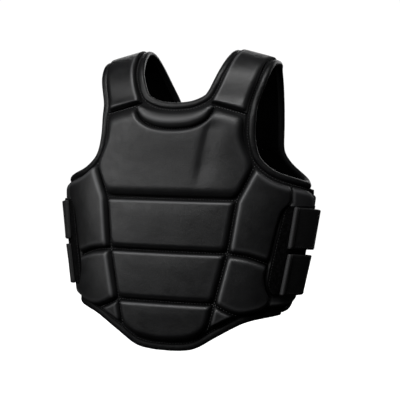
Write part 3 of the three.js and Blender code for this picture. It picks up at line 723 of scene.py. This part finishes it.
def add_piece(name, body, materials, nodes=(), side=1, flat=None, painted_light=None):
    """A closed piece in place. flat holds flat coordinates by point and wear the painted light and shade by
    point, repeated over both sides of a sheet. A second material goes on the inner faces."""
    points, faces, inside = body
    points = to_side(points, side)
    if signed_volume(points - points.mean(0), faces) < 0:
        faces = [face[::-1] for face in faces]
    mesh = bpy.data.meshes.new(name)
    mesh.from_pydata((points * MM).tolist(), [], faces)
    for material in materials:
        mesh.materials.append(material)
    if len(materials) > 1:
        for index in inside:
            mesh.polygons[index].material_index = 1
    if flat is not None:
        layer = mesh.uv_layers.new(name="flat")
        corners = np.empty(len(mesh.loops), int)
        mesh.loops.foreach_get("vertex_index", corners)
        layer.data.foreach_set("uv", (np.resize(flat, (len(points), 2)) * MM)[corners].ravel())
    if painted_light is not None:
        layer = mesh.attributes.new("painted_light", "FLOAT", "POINT")
        layer.data.foreach_set("value", np.resize(np.asarray(painted_light, np.float32), len(points)))
    mesh.shade_smooth()
    mesh.set_sharp_from_angle(angle=math.radians(SHARP_ANGLE))
    mesh.update()
    piece = add_object(name, mesh)
    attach(piece, "root")
    if nodes:
        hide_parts(*nodes)
    return piece


def grid_faces(count_a, count_b, start=0):
    index = np.arange(count_a * count_b).reshape(count_a, count_b) + start
    corners = (index[:-1, :-1], index[1:, :-1], index[1:, 1:], index[:-1, 1:])
    return np.stack([corner.ravel() for corner in corners], -1).tolist()


def shell(outer, inner):
    """Points and faces of a closed sheet between two grids, and which faces are its inner side."""
    count_a, count_b = outer.shape[:2]
    size = count_a * count_b
    points = np.concatenate([outer.reshape(-1, 3), inner.reshape(-1, 3)])
    index = np.arange(size).reshape(count_a, count_b)
    ring = np.concatenate([index[:, 0], index[-1, 1:], index[-2::-1, -1], index[0, -2:0:-1]])
    after = np.roll(ring, -1)
    walls = np.stack([ring, ring + size, after + size, after], -1).tolist()
    faces = grid_faces(count_a, count_b) + walls
    back = [face[::-1] for face in grid_faces(count_a, count_b, size)]
    return points, faces + back, range(len(faces), len(faces) + len(back))


def tube_faces(count, sides):
    index = np.arange(count * sides).reshape(count, sides)
    after = np.roll(index, -1, axis=1)
    walls = np.stack([index[:-1], after[:-1], after[1:], index[1:]], -1).reshape(-1, 4).tolist()
    return walls + [index[0][::-1].tolist(), index[-1].tolist()]


def pattern_grid(lines, shares_a, shares_b):
    """Spots between four lines: low, high, left and right."""
    low, high, left, right = lines
    a = shares_a[:, None, None]
    b = shares_b[None, :, None]
    rows = (1 - b) * low.at(shares_a)[:, None] + b * high.at(shares_a)[:, None]
    columns = (1 - a) * left.at(shares_b)[None] + a * right.at(shares_b)[None]
    bottom = (1 - a) * low.at(0.0) + a * low.at(1.0)
    top = (1 - a) * high.at(0.0) + a * high.at(1.0)
    return rows + columns - ((1 - b) * bottom + b * top)


def ease(value, low, high):
    t = np.clip((value - low) / (high - low), 0, 1)
    return t * t * (3 - 2 * t)


def bell(value, high, place, wide):
    return high * np.exp(-(((value - place) / wide) ** 2))


def rounded(distance, reach, least):
    """Share of the height near a rounded end: the least at the end, all of it past the reach."""
    share = np.clip(distance / reach, 0, 1)
    return least + (1 - least) * np.sqrt(np.clip(1 - (1 - share) ** 2, 0, 1))


def bevel_share(distance, flange, bevel):
    left = 1 - np.clip((distance - flange) / bevel, 0, 1)
    return (1 - left**BEVEL_POWER) ** (1 / BEVEL_POWER)


def soft_least(*distances):
    total = sum(np.exp(-distance / CORNER_SOFT) for distance in distances)
    return np.maximum(-CORNER_SOFT * np.log(total), 0)


def unevenness(points):
    scale = 1 / UNEVEN["wave"]
    values = [noise.noise(Vector(point) * scale) for point in points.reshape(-1, 3)]
    return np.array(values).reshape(points.shape[:-1]) * UNEVEN["height"]


def pad_height(rise, share, points, uneven=1.0):
    return PAD_LIP + (rise - PAD_LIP) * share + unevenness(points) * share * uneven


def bevelled(gaps, edges):
    """Distance from the nearest seam, scaled to one bevel width, and the painted light of each point: a
    painted highlight along each crease and painted shade near the seams.
    """
    distance = soft_least(*[gap * PAD_BEVEL / bevel for gap, (bevel, _) in zip(gaps, edges)])
    painted_light = np.zeros(distance.shape)
    for gap, (bevel, painted_highlight) in zip(gaps, edges):
        crest = CREASE["place"] * bevel + PAD_FLANGE
        wide = max(CREASE["least"], CREASE["wide"] * bevel)
        painted_light = np.maximum(painted_light, bell(gap, painted_highlight, crest, wide))
    painted_light = painted_light * ease(distance / PAD_BEVEL, *CREASE["fade"])
    return distance, painted_light - SEAM_PAINTED_SHADE * (1 - ease(distance / PAD_BEVEL, *SEAM_FADE))


def chest_fold(spots):
    """Depth of the soft upright fold in the chest, steep on its left and gentle on its right."""
    u, z = spots[..., 0], spots[..., 1]
    line = np.array(CHEST_FOLD_LINE, float)
    offset = u - np.interp(z, line[:, 1], line[:, 0])
    wide = np.where(offset < 0, CHEST_FOLD["steep"], CHEST_FOLD["gentle"])
    ends = ease(z, *CHEST_FOLD["low"]) * ease(z, *CHEST_FOLD["high"])
    return bell(offset, CHEST_FOLD["deep"], 0, wide) * ends


def front_cover(name, spots, height, painted_light, side=1):
    """Leather cover of a foam pad on the front sheet."""
    body = shell(on_front(spots, PAD_BASE + height), on_front(spots, PAD_FOOT))
    piece = add_piece(name + "_cover", body, [LEATHER], [name], side, painted_light=painted_light)


def front_pad(name, lines, rise, edges, side=1, crown=PAD_CROWN, painted_highlight=0.0, fold=None):
    """Foam pad between its seams: a flat flange, a bevel and a slightly crowned top.
    edges lists each seam line with the width of its bevel and the strength of the painted highlight along its
    crease."""
    shares = []
    for pair in (lines[:2], lines[2:]):
        length = (pair[0].length + pair[1].length) / 2
        steps = graded(length, coarse=FOLD_STEP if fold else PAD_STEP)
        shares.append(inside(steps, SEAM_INSET / length))
    spots = pattern_grid(lines, *shares)
    gaps = [np.maximum(distance_to(line, spots) - SEAM_INSET, 0) for line, _ in edges]
    distance, painted_light = bevelled(gaps, [edge for _, edge in edges])
    share = bevel_share(distance, PAD_FLANGE, PAD_BEVEL)
    swell = crown * (1 - np.exp(-np.maximum(distance - PAD_BEVEL, 0) / CROWN_REACH))
    height = pad_height(rise, share, on_front(spots, 0)) + swell
    if fold:
        height = height - fold(spots) * share
    # Painted light: a face can also be painted lighter all over, on top of the painted highlights along its
    # creases
    front_cover(name, spots, height, painted_light + painted_highlight * share, side)


def plain_pad(name, rise, seams, side=1, **looks):
    """Pad with one kind of edge on each seam: the edge and the lines of low, high, left and right."""
    edges = [(chain(*parts), edge) for edge, *parts in seams]
    front_pad(name, [line for line, _ in edges], rise, edges, side, **looks)


def neck_roll():
    low, high = symmetric(NECK_ROLL_LOW), symmetric(NECK_ROLL_HIGH)
    lines = [chain(low), chain(high), Line([low[0], high[0]]), Line([low[-1], high[-1]])]
    length = lines[0].length
    shares_a = inside(graded(length, **ROLL_STEPS), ROLL_INSET)
    shares_b = np.linspace(*ROLL_ACROSS)
    spots = pattern_grid(lines, shares_a, shares_b)
    dome = (1 - np.abs(2 * shares_b - 1) ** ROLL_POWER) ** (1 / ROLL_POWER)
    ends = bevel_share(np.minimum(shares_a, 1 - shares_a) * length, *ROLL_END)
    share = ends[:, None] * dome[None, :]
    # Painted highlight along the crest, painted shade towards both edges
    off_crest = np.abs(shares_b - ROLL_CREST)
    painted_light = bell(off_crest, **ROLL_HIGHLIGHT) - SEAM_PAINTED_SHADE * ease(off_crest, *ROLL_FADE)
    front_cover("neck_roll", spots, pad_height(ROLL_RISE, share, on_front(spots, 0)), painted_light)


def front_sheet():
    strap = [(u, z + LAP) for u, z in SHEET_STRAP]
    neck = SHEET_NECK[:-1] + strap[:1]
    arm = strap[-1:] + SHEET_ARM[1:]
    tops = [mirrored(arm)[::-1], mirrored(strap)[::-1], symmetric(neck), strap, arm]
    lines = chain(symmetric(SHEET_HEM)), chain(*tops), chain(mirrored(SHEET_SIDE)), chain(SHEET_SIDE)
    ends = running_sum([chain(top).length for top in tops])
    ends = ends / ends[-1]
    parts = [np.linspace(*ends[i:i + 2], count + 1)[1:] for i, count in enumerate(SHEET_STEPS["top"])]
    shares_a = np.concatenate([[0], *parts])
    spots = pattern_grid(lines, shares_a, np.linspace(0, 1, SHEET_STEPS["rows"]))
    inner = on_front(spots, 0)
    body = shell(on_front(spots, SHEET_THICK), inner)
    # Painted shade: the whole sheet, with its flanges seen in the grooves and beside the bindings, is painted
    # darker and duller
    piece = add_piece("front_sheet_cloth", body, LINED, ["front_sheet"], painted_light=-SEAM_PAINTED_SHADE)


def back_panel():
    tops = [BACK_ARM[::-1], BACK_STRAP[::-1], symmetric(BACK_NECK)[::-1]]
    tops += [mirrored(BACK_STRAP), mirrored(BACK_ARM)]
    spots = []
    for top, count in zip(tops, BACK_STEPS):
        spots.append(chain(top).at(np.linspace(0, 1, count + 1))[1 if spots else 0:])
    top = np.concatenate(spots)
    rows = graded(**BACK_ROWS)
    v = np.repeat(top[:, :1], len(rows), 1)
    high = top[:, 1:] + LAP
    z = BACK_BOTTOM + (high - BACK_BOTTOM) * rows[None]
    edge = np.minimum(np.minimum(z - BACK_BOTTOM, high - z), np.abs(np.abs(v) - WING_END))
    sunk = BACK_EDGE["deep"] * np.exp(-edge / BACK_EDGE["reach"])
    base = back_point(v, z, 0)
    body = shell(back_point(v, z, BACK_THICK - sunk + unevenness(base) * UNEVEN["on_back"]), base)
    piece = add_piece("back_panel_cover", body, LINED, ["back_panel"], painted_light=0.0)


def shoulder_strap(name, side):
    across, along = np.meshgrid(*(np.linspace(0, 1, count) for count in STRAP_STEPS), indexing="ij")
    along = inside(along, JOINT_GAP / STRAP_LENGTH)
    inner = strap_point(across, along, 0)
    body = shell(strap_point(across, along, SHEET_THICK), inner)
    # Painted shade: the strap's sheet, with its flanges beside the pad, is painted darker and duller
    piece = add_piece(name + "_cloth", body, LINED, [name], side, painted_light=-SEAM_PAINTED_SHADE)


def shoulder_pad(name, side):
    length = STRAP_LENGTH * SHOULDER_PAD_END
    wide = STRAP_WIDE - SHOULDER_FLANGE["neck"] - SHOULDER_FLANGE["arm"]
    b = inside(graded(length), SEAM_INSET / length)
    a, b = np.meshgrid(graded(wide, **SHOULDER_STEPS), b, indexing="ij")
    along = b * SHOULDER_PAD_END
    taper = 1 - ease(along, 0, SHOULDER_TAPER["until"])
    neck_inset = (SHOULDER_FLANGE["neck"] + SHOULDER_TAPER["wide"] * taper) / STRAP_WIDE
    across = neck_inset + (1 - SHOULDER_FLANGE["arm"] / STRAP_WIDE - neck_inset) * a
    gaps = [a * wide, (1 - a) * wide, b * length, (1 - b) * length]
    distance, painted_light = bevelled(gaps, SHOULDER_EDGES.values())
    share = bevel_share(distance, PAD_FLANGE, PAD_BEVEL)
    rise = np.interp(along, SHOULDER_THINS, SHOULDER_RISE)
    height = pad_height(rise, share, strap_point(across, along, 0), UNEVEN["on_shoulder"])
    outer = strap_point(across, along, SHOULDER_BASE + height)
    body = shell(outer, strap_point(across, along, SHOULDER_FOOT))
    piece = add_piece(name + "_cover", body, [LEATHER], [name], side, painted_light=painted_light)


def hook_patch(name, side):
    lines = [chain(points) for points in (PATCH_LOW, PATCH_HIGH, PATCH_FRONT, PATCH_REAR)]
    spots = pattern_grid(lines, *(np.linspace(0, 1, count) for count in PATCH_STEPS))
    distance = soft_least(*[distance_to(line, spots) for line in lines])
    rim = PATCH_RIM["least"] + (1 - PATCH_RIM["least"]) * bevel_share(distance, 0.0, PATCH_RIM["wide"])
    thick = PATCH_THICK * rim - bell(distance, **PATCH_GROOVE)
    body = shell(on_front(spots, PATCH_BASE + thick), on_front(spots, PATCH_BASE - LAYER_GAP / 2))
    add_piece(name + "_tape", body, [HOOK], [name], side)


def webbing_path(z, top, start, lean):
    """Course of the webbing at one height, from its folded end over the flap to the back's wing."""
    reach = FLAP_REACH["girth"] + FLAP_REACH["slope"] * (top - FLAP_REACH["z"])
    reach += WEB_SLANT["past"] + WEB_SLANT["slope"] * (z - top)
    rear_z = z - WEB_DROOP
    start = start - lean * (top - z)
    spots = []
    for i, share in enumerate(WEB_ON_FLAP):
        girth = (start + (WEB_FLAP_END - start) * share) * reach
        spots.append(front_point(girth, z - WEB_DROOP * i / len(WEB_ON_FLAP), WEB_ON_PATCH))
    spots += [front_point(reach + past, rear_z, out) for past, out in WEB_ROUND_EDGE]
    spots += [back_point(v, rear_z, BACK_THICK + lift) for v, lift in WEB_ON_WING]
    return Line(space_spline(spots, np.linspace(0, 1, WEB_SAMPLES)))


def side_strap(name, level, side):
    """Webbing with its front end folded over into a round bead. Gives the run of its stitches."""
    low, high = (webbing_path(z=level["top"] - drop, **level) for drop in (WEB_WIDE, 0))
    length = high.length
    bead_end = WEB_BEAD["reach"] * WEB_FOLD
    bead = np.linspace(0, bead_end, WEB_BEAD["steps"])
    shares = np.concatenate([bead, np.linspace(bead_end, length, WEB_STEPS)[1:]]) / length
    run = shares * length
    across = np.concatenate([WEB_EDGE, np.linspace(*WEB_MIDDLE), 1 - WEB_EDGE[::-1]])
    up = across[None, :, None]
    low_way, high_way = (line.heading(shares, WEB_LOOK)[:, None] for line in (low, high))
    forward = low_way * (1 - up) + high_way * up
    outward = unit(np.cross(forward, np.array([0.0, 0.0, 1.0])))
    edge = np.minimum(across, 1 - across) * WEB_WIDE
    corner = WEB_CORNER * (1 - rounded(edge, WEB_CORNER, 0))
    near_end = np.clip(1 - run / (WEB_CORNER_REACH * WEB_CORNER), 0, 1)
    spread = shares[:, None] + corner[None] * near_end[:, None] / length
    inner = low.at(spread) * (1 - up) + high.at(spread) * up
    half = WEB_FOLD / 2
    bulge = np.sqrt(np.clip(1 - ((run - half) / half) ** 2, 0, 1)) ** WEB_BEAD["power"]
    thick = WEB_THICK * (1 + WEB_BEAD["swell"] * bulge - bell(run, **WEB_NOTCH)) * rounded(run, **WEB_TIP)
    outer = inner + outward * (thick[:, None] * rounded(edge, **WEB_RIM)[None, :])[..., None]
    flat = np.stack(np.meshgrid(run, across * WEB_WIDE, indexing="ij"), -1)
    # Painted highlight bands on the bead, stronger on the right strap than on the left
    painted_highlight = sum(bell(run / WEB_FOLD, **highlight_band) for highlight_band in WEB_HIGHLIGHTS)
    painted_light = np.repeat(painted_highlight * WEB_HIGHLIGHT_BY_SIDE[side], len(across))
    body = shell(outer, inner)
    piece = add_piece(name + "_webbing", body, [WEBBING], [name], side, flat=flat, painted_light=painted_light)
    row = outer[:, np.argmin(np.abs(across - WEB_STITCH["across"]))]
    behind_fold = run > WEB_FOLD + WEB_STITCH["past"]
    return row[behind_fold], outward[behind_fold, 0], side


# Edge bindings

def smooth_run(values, rounds):
    for _ in range(rounds):
        middle = (values[:-2] + 2 * values[1:-1] + values[2:]) / 4
        values = np.concatenate([values[:1], middle, values[-1:]])
    return values


def superellipse(values, power):
    return np.sign(values) * np.abs(values) ** power


def binding(nodes, run, size, sheet_thick, side=1, rounds=BINDING_ROUNDS["edge"], shade=0.0):
    """Rolled binding beside the edge of a sheet, on the side that tangent x normal points to.
    shade gives its painted light (above zero) and painted shade (below zero), for all of it or by its rings."""
    edge, normal = run
    outward = unit(np.cross(unit(np.gradient(edge, axis=0)), normal))
    reach = BINDING_REACH * size["wide"]
    centre = smooth_run(edge + outward * (reach - BINDING_LAP) + normal * sheet_thick / 2, rounds)
    outward = unit(smooth_run(outward, rounds))
    forward = unit(np.gradient(centre, axis=0))
    outward = square_to(forward, outward)
    upward = np.cross(outward, forward)
    turns = np.linspace(0, 2 * math.pi, BINDING_SIDES, endpoint=False)
    wide = superellipse(np.cos(turns), 2 / BINDING_POWER) * (reach + BINDING_LAP + JOINT_GAP)
    thick = superellipse(np.sin(turns), 2 / BINDING_POWER) * size["thick"] / 2
    along = Line(centre).along
    places = [Vector((value / BINDING_PUCKER["wave"], *BINDING_PUCKER["place"])) for value in along]
    pucker = np.array([1 + BINDING_PUCKER["height"] * noise.noise(place) for place in places])
    blunt = rounded(np.minimum(along, along[-1] - along), **BINDING_END)
    section = outward[:, None] * wide[None, :, None] + upward[:, None] * thick[None, :, None]
    rings = centre[:, None] + (pucker * blunt)[:, None, None] * section
    body = rings.reshape(-1, 3), tube_faces(len(rings), BINDING_SIDES), ()
    painted_light = shade(rings) if callable(shade) else shade
    piece = add_piece(nodes[0] + "_roll", body, [BINDING_LEATHER], nodes, side, painted_light=painted_light)


def part_of(points, low, high, step):
    line = chain(points)
    return line.at(low + (high - low) * even(line.length * (high - low), step)).T


def front_run(points, low=0.0, high=1.0):
    u, z = part_of(points, low, high, FRONT_RUN_STEP)
    return front_point(u, z, 0), front_normal(u, z)


def back_run(points, low=0.0, high=1.0, step=BACK_RUN_STEP):
    v, z = part_of(points, low, high, step)
    return back_point(v, z, 0), back_normal(v, z)


def strap_run(across):
    along = inside(even(STRAP_LENGTH, FRONT_RUN_STEP), JOINT_GAP / STRAP_LENGTH)
    across = np.full(len(along), float(across))
    return strap_middle(across, along), strap_normal(across, along)


def arm_run():
    """Edge, normals and sheet thickness from the flap over the shoulder to the end of the back's wing."""
    ahead = [front_run(SHEET_ARM[::-1], ARM_START["front"]), strap_run(1)]
    runs = ahead + [back_run(BACK_ARM, ARM_START["back"], step=FRONT_RUN_STEP)]
    edge, normal = (np.concatenate(parts) for parts in zip(*runs))
    from_back = np.arange(len(edge)) - sum(len(part) for part, _ in ahead)
    thick = SHEET_THICK + (BACK_THICK - SHEET_THICK) * ease(from_back, *ARM_THICKEN)
    return (edge, normal), thick[:, None]


def arm_shade(rings):
    """Painted shade: the binding behind the shoulder is painted darker and duller than in front."""
    return -REAR_SHADE["dull"] * ease(rings[..., 1], *REAR_SHADE["fade"])


def neck_run():
    over, line = strap_run(0), front_run(SHEET_NECK[::-1])
    halves = [np.concatenate([over[i][::-1], line[i][1:]]) for i in (0, 1)]
    return tuple(np.concatenate([half, to_side(half[-2::-1], -1)]) for half in halves)


# Stitching

def stitch_run(points, inset, out, side=1):
    """Run along a line of the front, or beside it at a distance to its left."""
    line = chain(points)
    spots = line.at(even(line.length, STITCH["step"]))
    forward = unit(np.gradient(spots, axis=0))
    u, z = (spots + np.stack([-forward[:, 1], forward[:, 0]], -1) * inset).T
    return front_point(u, z, out), front_normal(u, z), side


def stitch_row(points, normals, side):
    """Centre, direction and normal of each stitch along a run of points."""
    run = Line(to_side(points, side))
    count = max(1, int(run.length // STITCH["pitch"]))
    shares = (np.arange(count) + 0.5) / count
    forward = run.heading(shares, STITCH["long"] / 2 / run.length)
    return run.at(shares), forward, square_to(forward, run.at(shares, to_side(normals, side)))


def stitching(name, runs, thread):
    lengths, widths, sinks = (column[:, None, None] for column in STITCH_FORM.T)
    turns = np.linspace(0, 2 * math.pi, STITCH["sides"], endpoint=False)[:, None]
    points = []
    for run in runs:
        centre, forward, normal = (values[:, None, None] for values in stitch_row(*run))
        ring = np.cross(forward, normal) * np.cos(turns) + normal * np.sin(turns) * STITCH["flat"]
        rings = centre + forward * lengths + normal * sinks + ring * widths
        points.append(rings.reshape(-1, 3))
    points = np.concatenate(points)
    one = tube_faces(len(STITCH_FORM), STITCH["sides"])
    starts = range(0, len(points), len(STITCH_FORM) * STITCH["sides"])
    faces = [[corner + start for corner in face] for start in starts for face in one]
    add_piece(name, (points, faces, ()), [thread])


# Centre pieces
front_sheet()
back_panel()
neck_roll()
chest_edges = [(chain(symmetric(CHEST_SEAM)), CHEST_LOW_EDGE), (chain(symmetric(NECK_ROLL_LOW)), NECK_EDGE)]
for line, edge in ((CHEST_SIDE, BELLY_EDGE), (CHEST_ARM, ARM_EDGE), (CHEST_STRAP, STRAP_EDGE)):
    chest_edges += [(chain(line), edge), (chain(mirrored(line)), edge)]
front_pad("chest_panel", [
    chain(symmetric(CHEST_SEAM)),
    chain(mirrored(CHEST_STRAP)[::-1], symmetric(NECK_ROLL_LOW), CHEST_STRAP),
    chain(mirrored(CHEST_SIDE), mirrored(CHEST_ARM)),
    chain(CHEST_SIDE, CHEST_ARM),
], PAD_RISE, chest_edges, fold=chest_fold)
for name, low, high, edge in (
    ("belly_panel_upper", BELLY_SEAM, CHEST_SEAM, BELLY_SIDE),
    ("belly_panel_middle", WAIST_SEAM, BELLY_SEAM, WAIST_SIDE),
    ("belly_panel_lower", HEM_PAD_LINE, WAIST_SEAM, HEM_SIDE),
):
    plain_pad(name, PAD_RISE, [
        (LOWER_EDGE, symmetric(low)), (UPPER_EDGE, symmetric(high)),
        (BELLY_EDGE, mirrored(edge)), (BELLY_EDGE, edge),
    ])
binding(["neck_binding"], neck_run(), BINDING, SHEET_THICK, rounds=BINDING_ROUNDS["neck"])
# Hem binding painted darker and duller: painted shade
binding(["hem_binding"], front_run(symmetric(SHEET_HEM)), BINDING, SHEET_THICK, shade=HEM_SHADE)
binding(["back_neck_binding"], back_run(symmetric(BACK_NECK), *BACK_NECK_SPAN), BINDING, BACK_THICK)
binding(["back_hem_binding"], back_run(BACK_HEM), BINDING, BACK_THICK)

# Pieces of each side
rows = {"seam": [], "edge": [], "patch": []}
for side_name, side in (("right", 1), ("left", -1)):
    shoulder_strap("shoulder_strap_" + side_name, side)
    shoulder_pad("shoulder_pad_" + side_name, side)
    plain_pad("side_panel_upper_" + side_name, PAD_RISE, [
        (PANEL_LOW_EDGE, SIDE_PANEL_SEAM), (PANEL_TOP_EDGE, SIDE_ARM),
        (INNER_EDGE, BELLY_SIDE, CHEST_SIDE), (FLAP_SIDE_EDGE, FLAP_SEAM_HIGH),
    ], side)
    plain_pad("side_panel_lower_" + side_name, PAD_RISE, [
        (PANEL_LOW_EDGE, SIDE_PANEL_LOW), (PANEL_MIDDLE_EDGE, SIDE_PANEL_SEAM),
        (INNER_EDGE, WAIST_SIDE), (FLAP_SIDE_EDGE, FLAP_SEAM_LOW),
    ], side)
    gusset = [(GUSSET_EDGE, line) for line in (GUSSET_TIP, GUSSET_SEAM, GUSSET_SIDE, GUSSET_HEM)]
    plain_pad("hem_gusset_" + side_name, GUSSET_RISE, gusset, side, crown=0)
    flap_low, flap_high, flap_rear = chain(FLAP_LOW), chain(FLAP_HIGH), chain(FLAP_EDGE)
    flap_lines = [flap_low, flap_high, chain(FLAP_SEAM_LOW, FLAP_SEAM_HIGH), flap_rear]
    # The flap's face is painted lighter all over, with painted highlights along its rim
    front_pad("side_flap_" + side_name, flap_lines, FLAP_RISE, [
        (flap_low, FLAP_RIM),
        (flap_high, FLAP_RIM),
        (chain(FLAP_SEAM_LOW, FLAP_SEAM_HIGH[:-1]), FLAP_FRONT),
        (chain(FLAP_SEAM_HIGH[-2:]), FLAP_FRONT_TOP),
        (flap_rear, FLAP_RIM),
    ], side, crown=0, painted_highlight=FLAP_PAINTED_LIGHT)
    hook_patch("hook_patch_" + side_name, side)
    for place, level in WEB_LEVELS.items():
        rows["edge"].append(side_strap("side_strap_" + place + "_" + side_name, level, side))
    arm_nodes = [node + side_name for node in ("armhole_binding_", "strap_binding_", "back_armhole_binding_")]
    arm_edge, arm_thick = arm_run()
    # Painted shade on the binding behind the shoulder
    binding(arm_nodes, arm_edge, BINDING, arm_thick, side, BINDING_ROUNDS["arm"], arm_shade)
    side_edge = front_run(SHEET_SIDE, *SIDE_SPAN)
    # Side binding painted lighter: painted light
    binding(["side_binding_" + side_name], side_edge, SIDE_BINDING, SHEET_THICK, side, shade=SIDE_SHADE)
    for line in (
        BELLY_SIDE, WAIST_SIDE, HEM_SIDE, CHEST_SIDE, SIDE_PANEL_SEAM, GUSSET_SEAM, CHEST_STRAP,
        FLAP_SEAM_HIGH[-2:],
    ):
        rows["seam"].append(stitch_run(line, 0, SEAM_OUT, side))
    rows["edge"].append(stitch_run(SHEET_ARM, -STITCH_INSET, EDGE_OUT, side))
    rows["patch"].append(stitch_run(PATCH_FRONT, -PATCH_STITCH, PATCH_OUT, side))
    for across in (STITCH_INSET / STRAP_WIDE, 1 - STITCH_INSET / STRAP_WIDE):
        points, normals = strap_run(across)
        rows["edge"].append((points + normals * EDGE_OUT, normals, side))

for line in (CHEST_SEAM, BELLY_SEAM, WAIST_SEAM, NECK_ROLL_LOW):
    rows["seam"].append(stitch_run(symmetric(line), 0, SEAM_OUT))
rows["edge"].append(stitch_run(symmetric(SHEET_NECK), -STITCH_INSET, EDGE_OUT))
rows["edge"].append(stitch_run(symmetric(SHEET_HEM), STITCH_INSET, EDGE_OUT))
# Three tones of one thread; the seam thread is painted lighter against the shade of the grooves
for name, pair in THREAD_TONES.items():
    stitching(name + "_stitching", rows[name], surface(name + "_thread", thread_looks, pair))


def direction(turn, rise):
    """Unit vector turned from the front towards +X and raised, by angles in radians."""
    return Vector((math.sin(turn) * math.cos(rise), -math.cos(turn) * math.cos(rise), math.sin(rise)))


# Camera, as the photograph's frame shows the guard
AZIMUTH, ELEVATION, ROLL = np.radians((17.5, 1.7, 1.2))
TARGET = Vector((0, 0, -0.214))
DISTANCE = 1.488
back = direction(AZIMUTH, ELEVATION)
level = Vector((math.cos(AZIMUTH), math.sin(AZIMUTH), 0))
upright = back.cross(level)
right = level * math.cos(ROLL) + upright * math.sin(ROLL)
up = upright * math.cos(ROLL) - level * math.sin(ROLL)
camera_data = bpy.data.cameras.new("camera")
camera_data.sensor_width = 36.0
camera_data.lens = 84.4
camera_data.shift_x = 0.0105
camera_data.shift_y = -0.0075
camera_data.clip_end = 50.0
camera = add_object("camera", camera_data)
axes = Matrix((right, up, back)).transposed().to_4x4()
camera.matrix_world = Matrix.Translation(TARGET + back * DISTANCE) @ axes
bpy.context.scene.camera = camera

# Studio lights: turn and rise in degrees, power
LIGHTS = {
    "key": (-45, 15, 7.4), "front": (-22, 30, 5.6), "upper": (5, 35, 1.2), "top": (15, 62, 15.5),
    "rear_right": (160, 25, 4.5), "rear_left": (200, 25, 4.5),
}
LIGHT_REACH = 1.7
LIGHT_SIZE = 0.8
LIGHT_AIM = Vector((0, -0.1, -0.2))
for light_name, (turn, rise, power) in LIGHTS.items():
    light_data = bpy.data.lights.new(light_name, "AREA")
    light_data.shape = "RECTANGLE"
    light_data.size = LIGHT_SIZE
    light_data.size_y = LIGHT_SIZE
    light_data.energy = power
    light = add_object(light_name, light_data)
    light.location = LIGHT_AIM + direction(*np.radians((turn, rise))) * LIGHT_REACH
    light.rotation_euler = (LIGHT_AIM - light.location).to_track_quat("-Z", "Y").to_euler()

# Pale floor and background
WHITE = (1, 1, 1, 1)
WHITE_STRENGTH = 1.03
AMBIENT_STRENGTH = 0.008
FLOOR_GREY = (0.6, 0.6, 0.6, 1)
FLOOR_HALF = 9
FLOOR_Z = -0.475
floor_corners = [(x * FLOOR_HALF, y * FLOOR_HALF, FLOOR_Z) for x, y in ((-1, -1), (1, -1), (1, 1), (-1, 1))]
floor_mesh = bpy.data.meshes.new("floor")
floor_mesh.from_pydata(floor_corners, [], [(0, 1, 2, 3)])
floor = add_object("floor", floor_mesh)
floor_mesh.materials.append(surface("floor", lambda tree: {
    "Base Color": FLOOR_GREY, "Roughness": 0.9, "Emission Color": WHITE, "Emission Strength": WHITE_STRENGTH,
}))
floor.visible_glossy = False
floor.visible_diffuse = False

world = bpy.data.worlds.new("studio")
bpy.context.scene.world = world
world.use_nodes = True
tree = world.node_tree
tree.nodes.clear()
seen, lit = (
    add_node(tree, "ShaderNodeBackground", {"Color": WHITE, "Strength": strength}).outputs[0]
    for strength in (WHITE_STRENGTH, AMBIENT_STRENGTH)
)
camera_ray = add_node(tree, "ShaderNodeLightPath").outputs["Is Camera Ray"]
mixed = add_node(tree, "ShaderNodeMixShader", {0: camera_ray, 1: lit, 2: seen})
add_node(tree, "ShaderNodeOutputWorld", {"Surface": mixed.outputs[0]})
bpy.context.scene.view_settings.view_transform = "Standard"
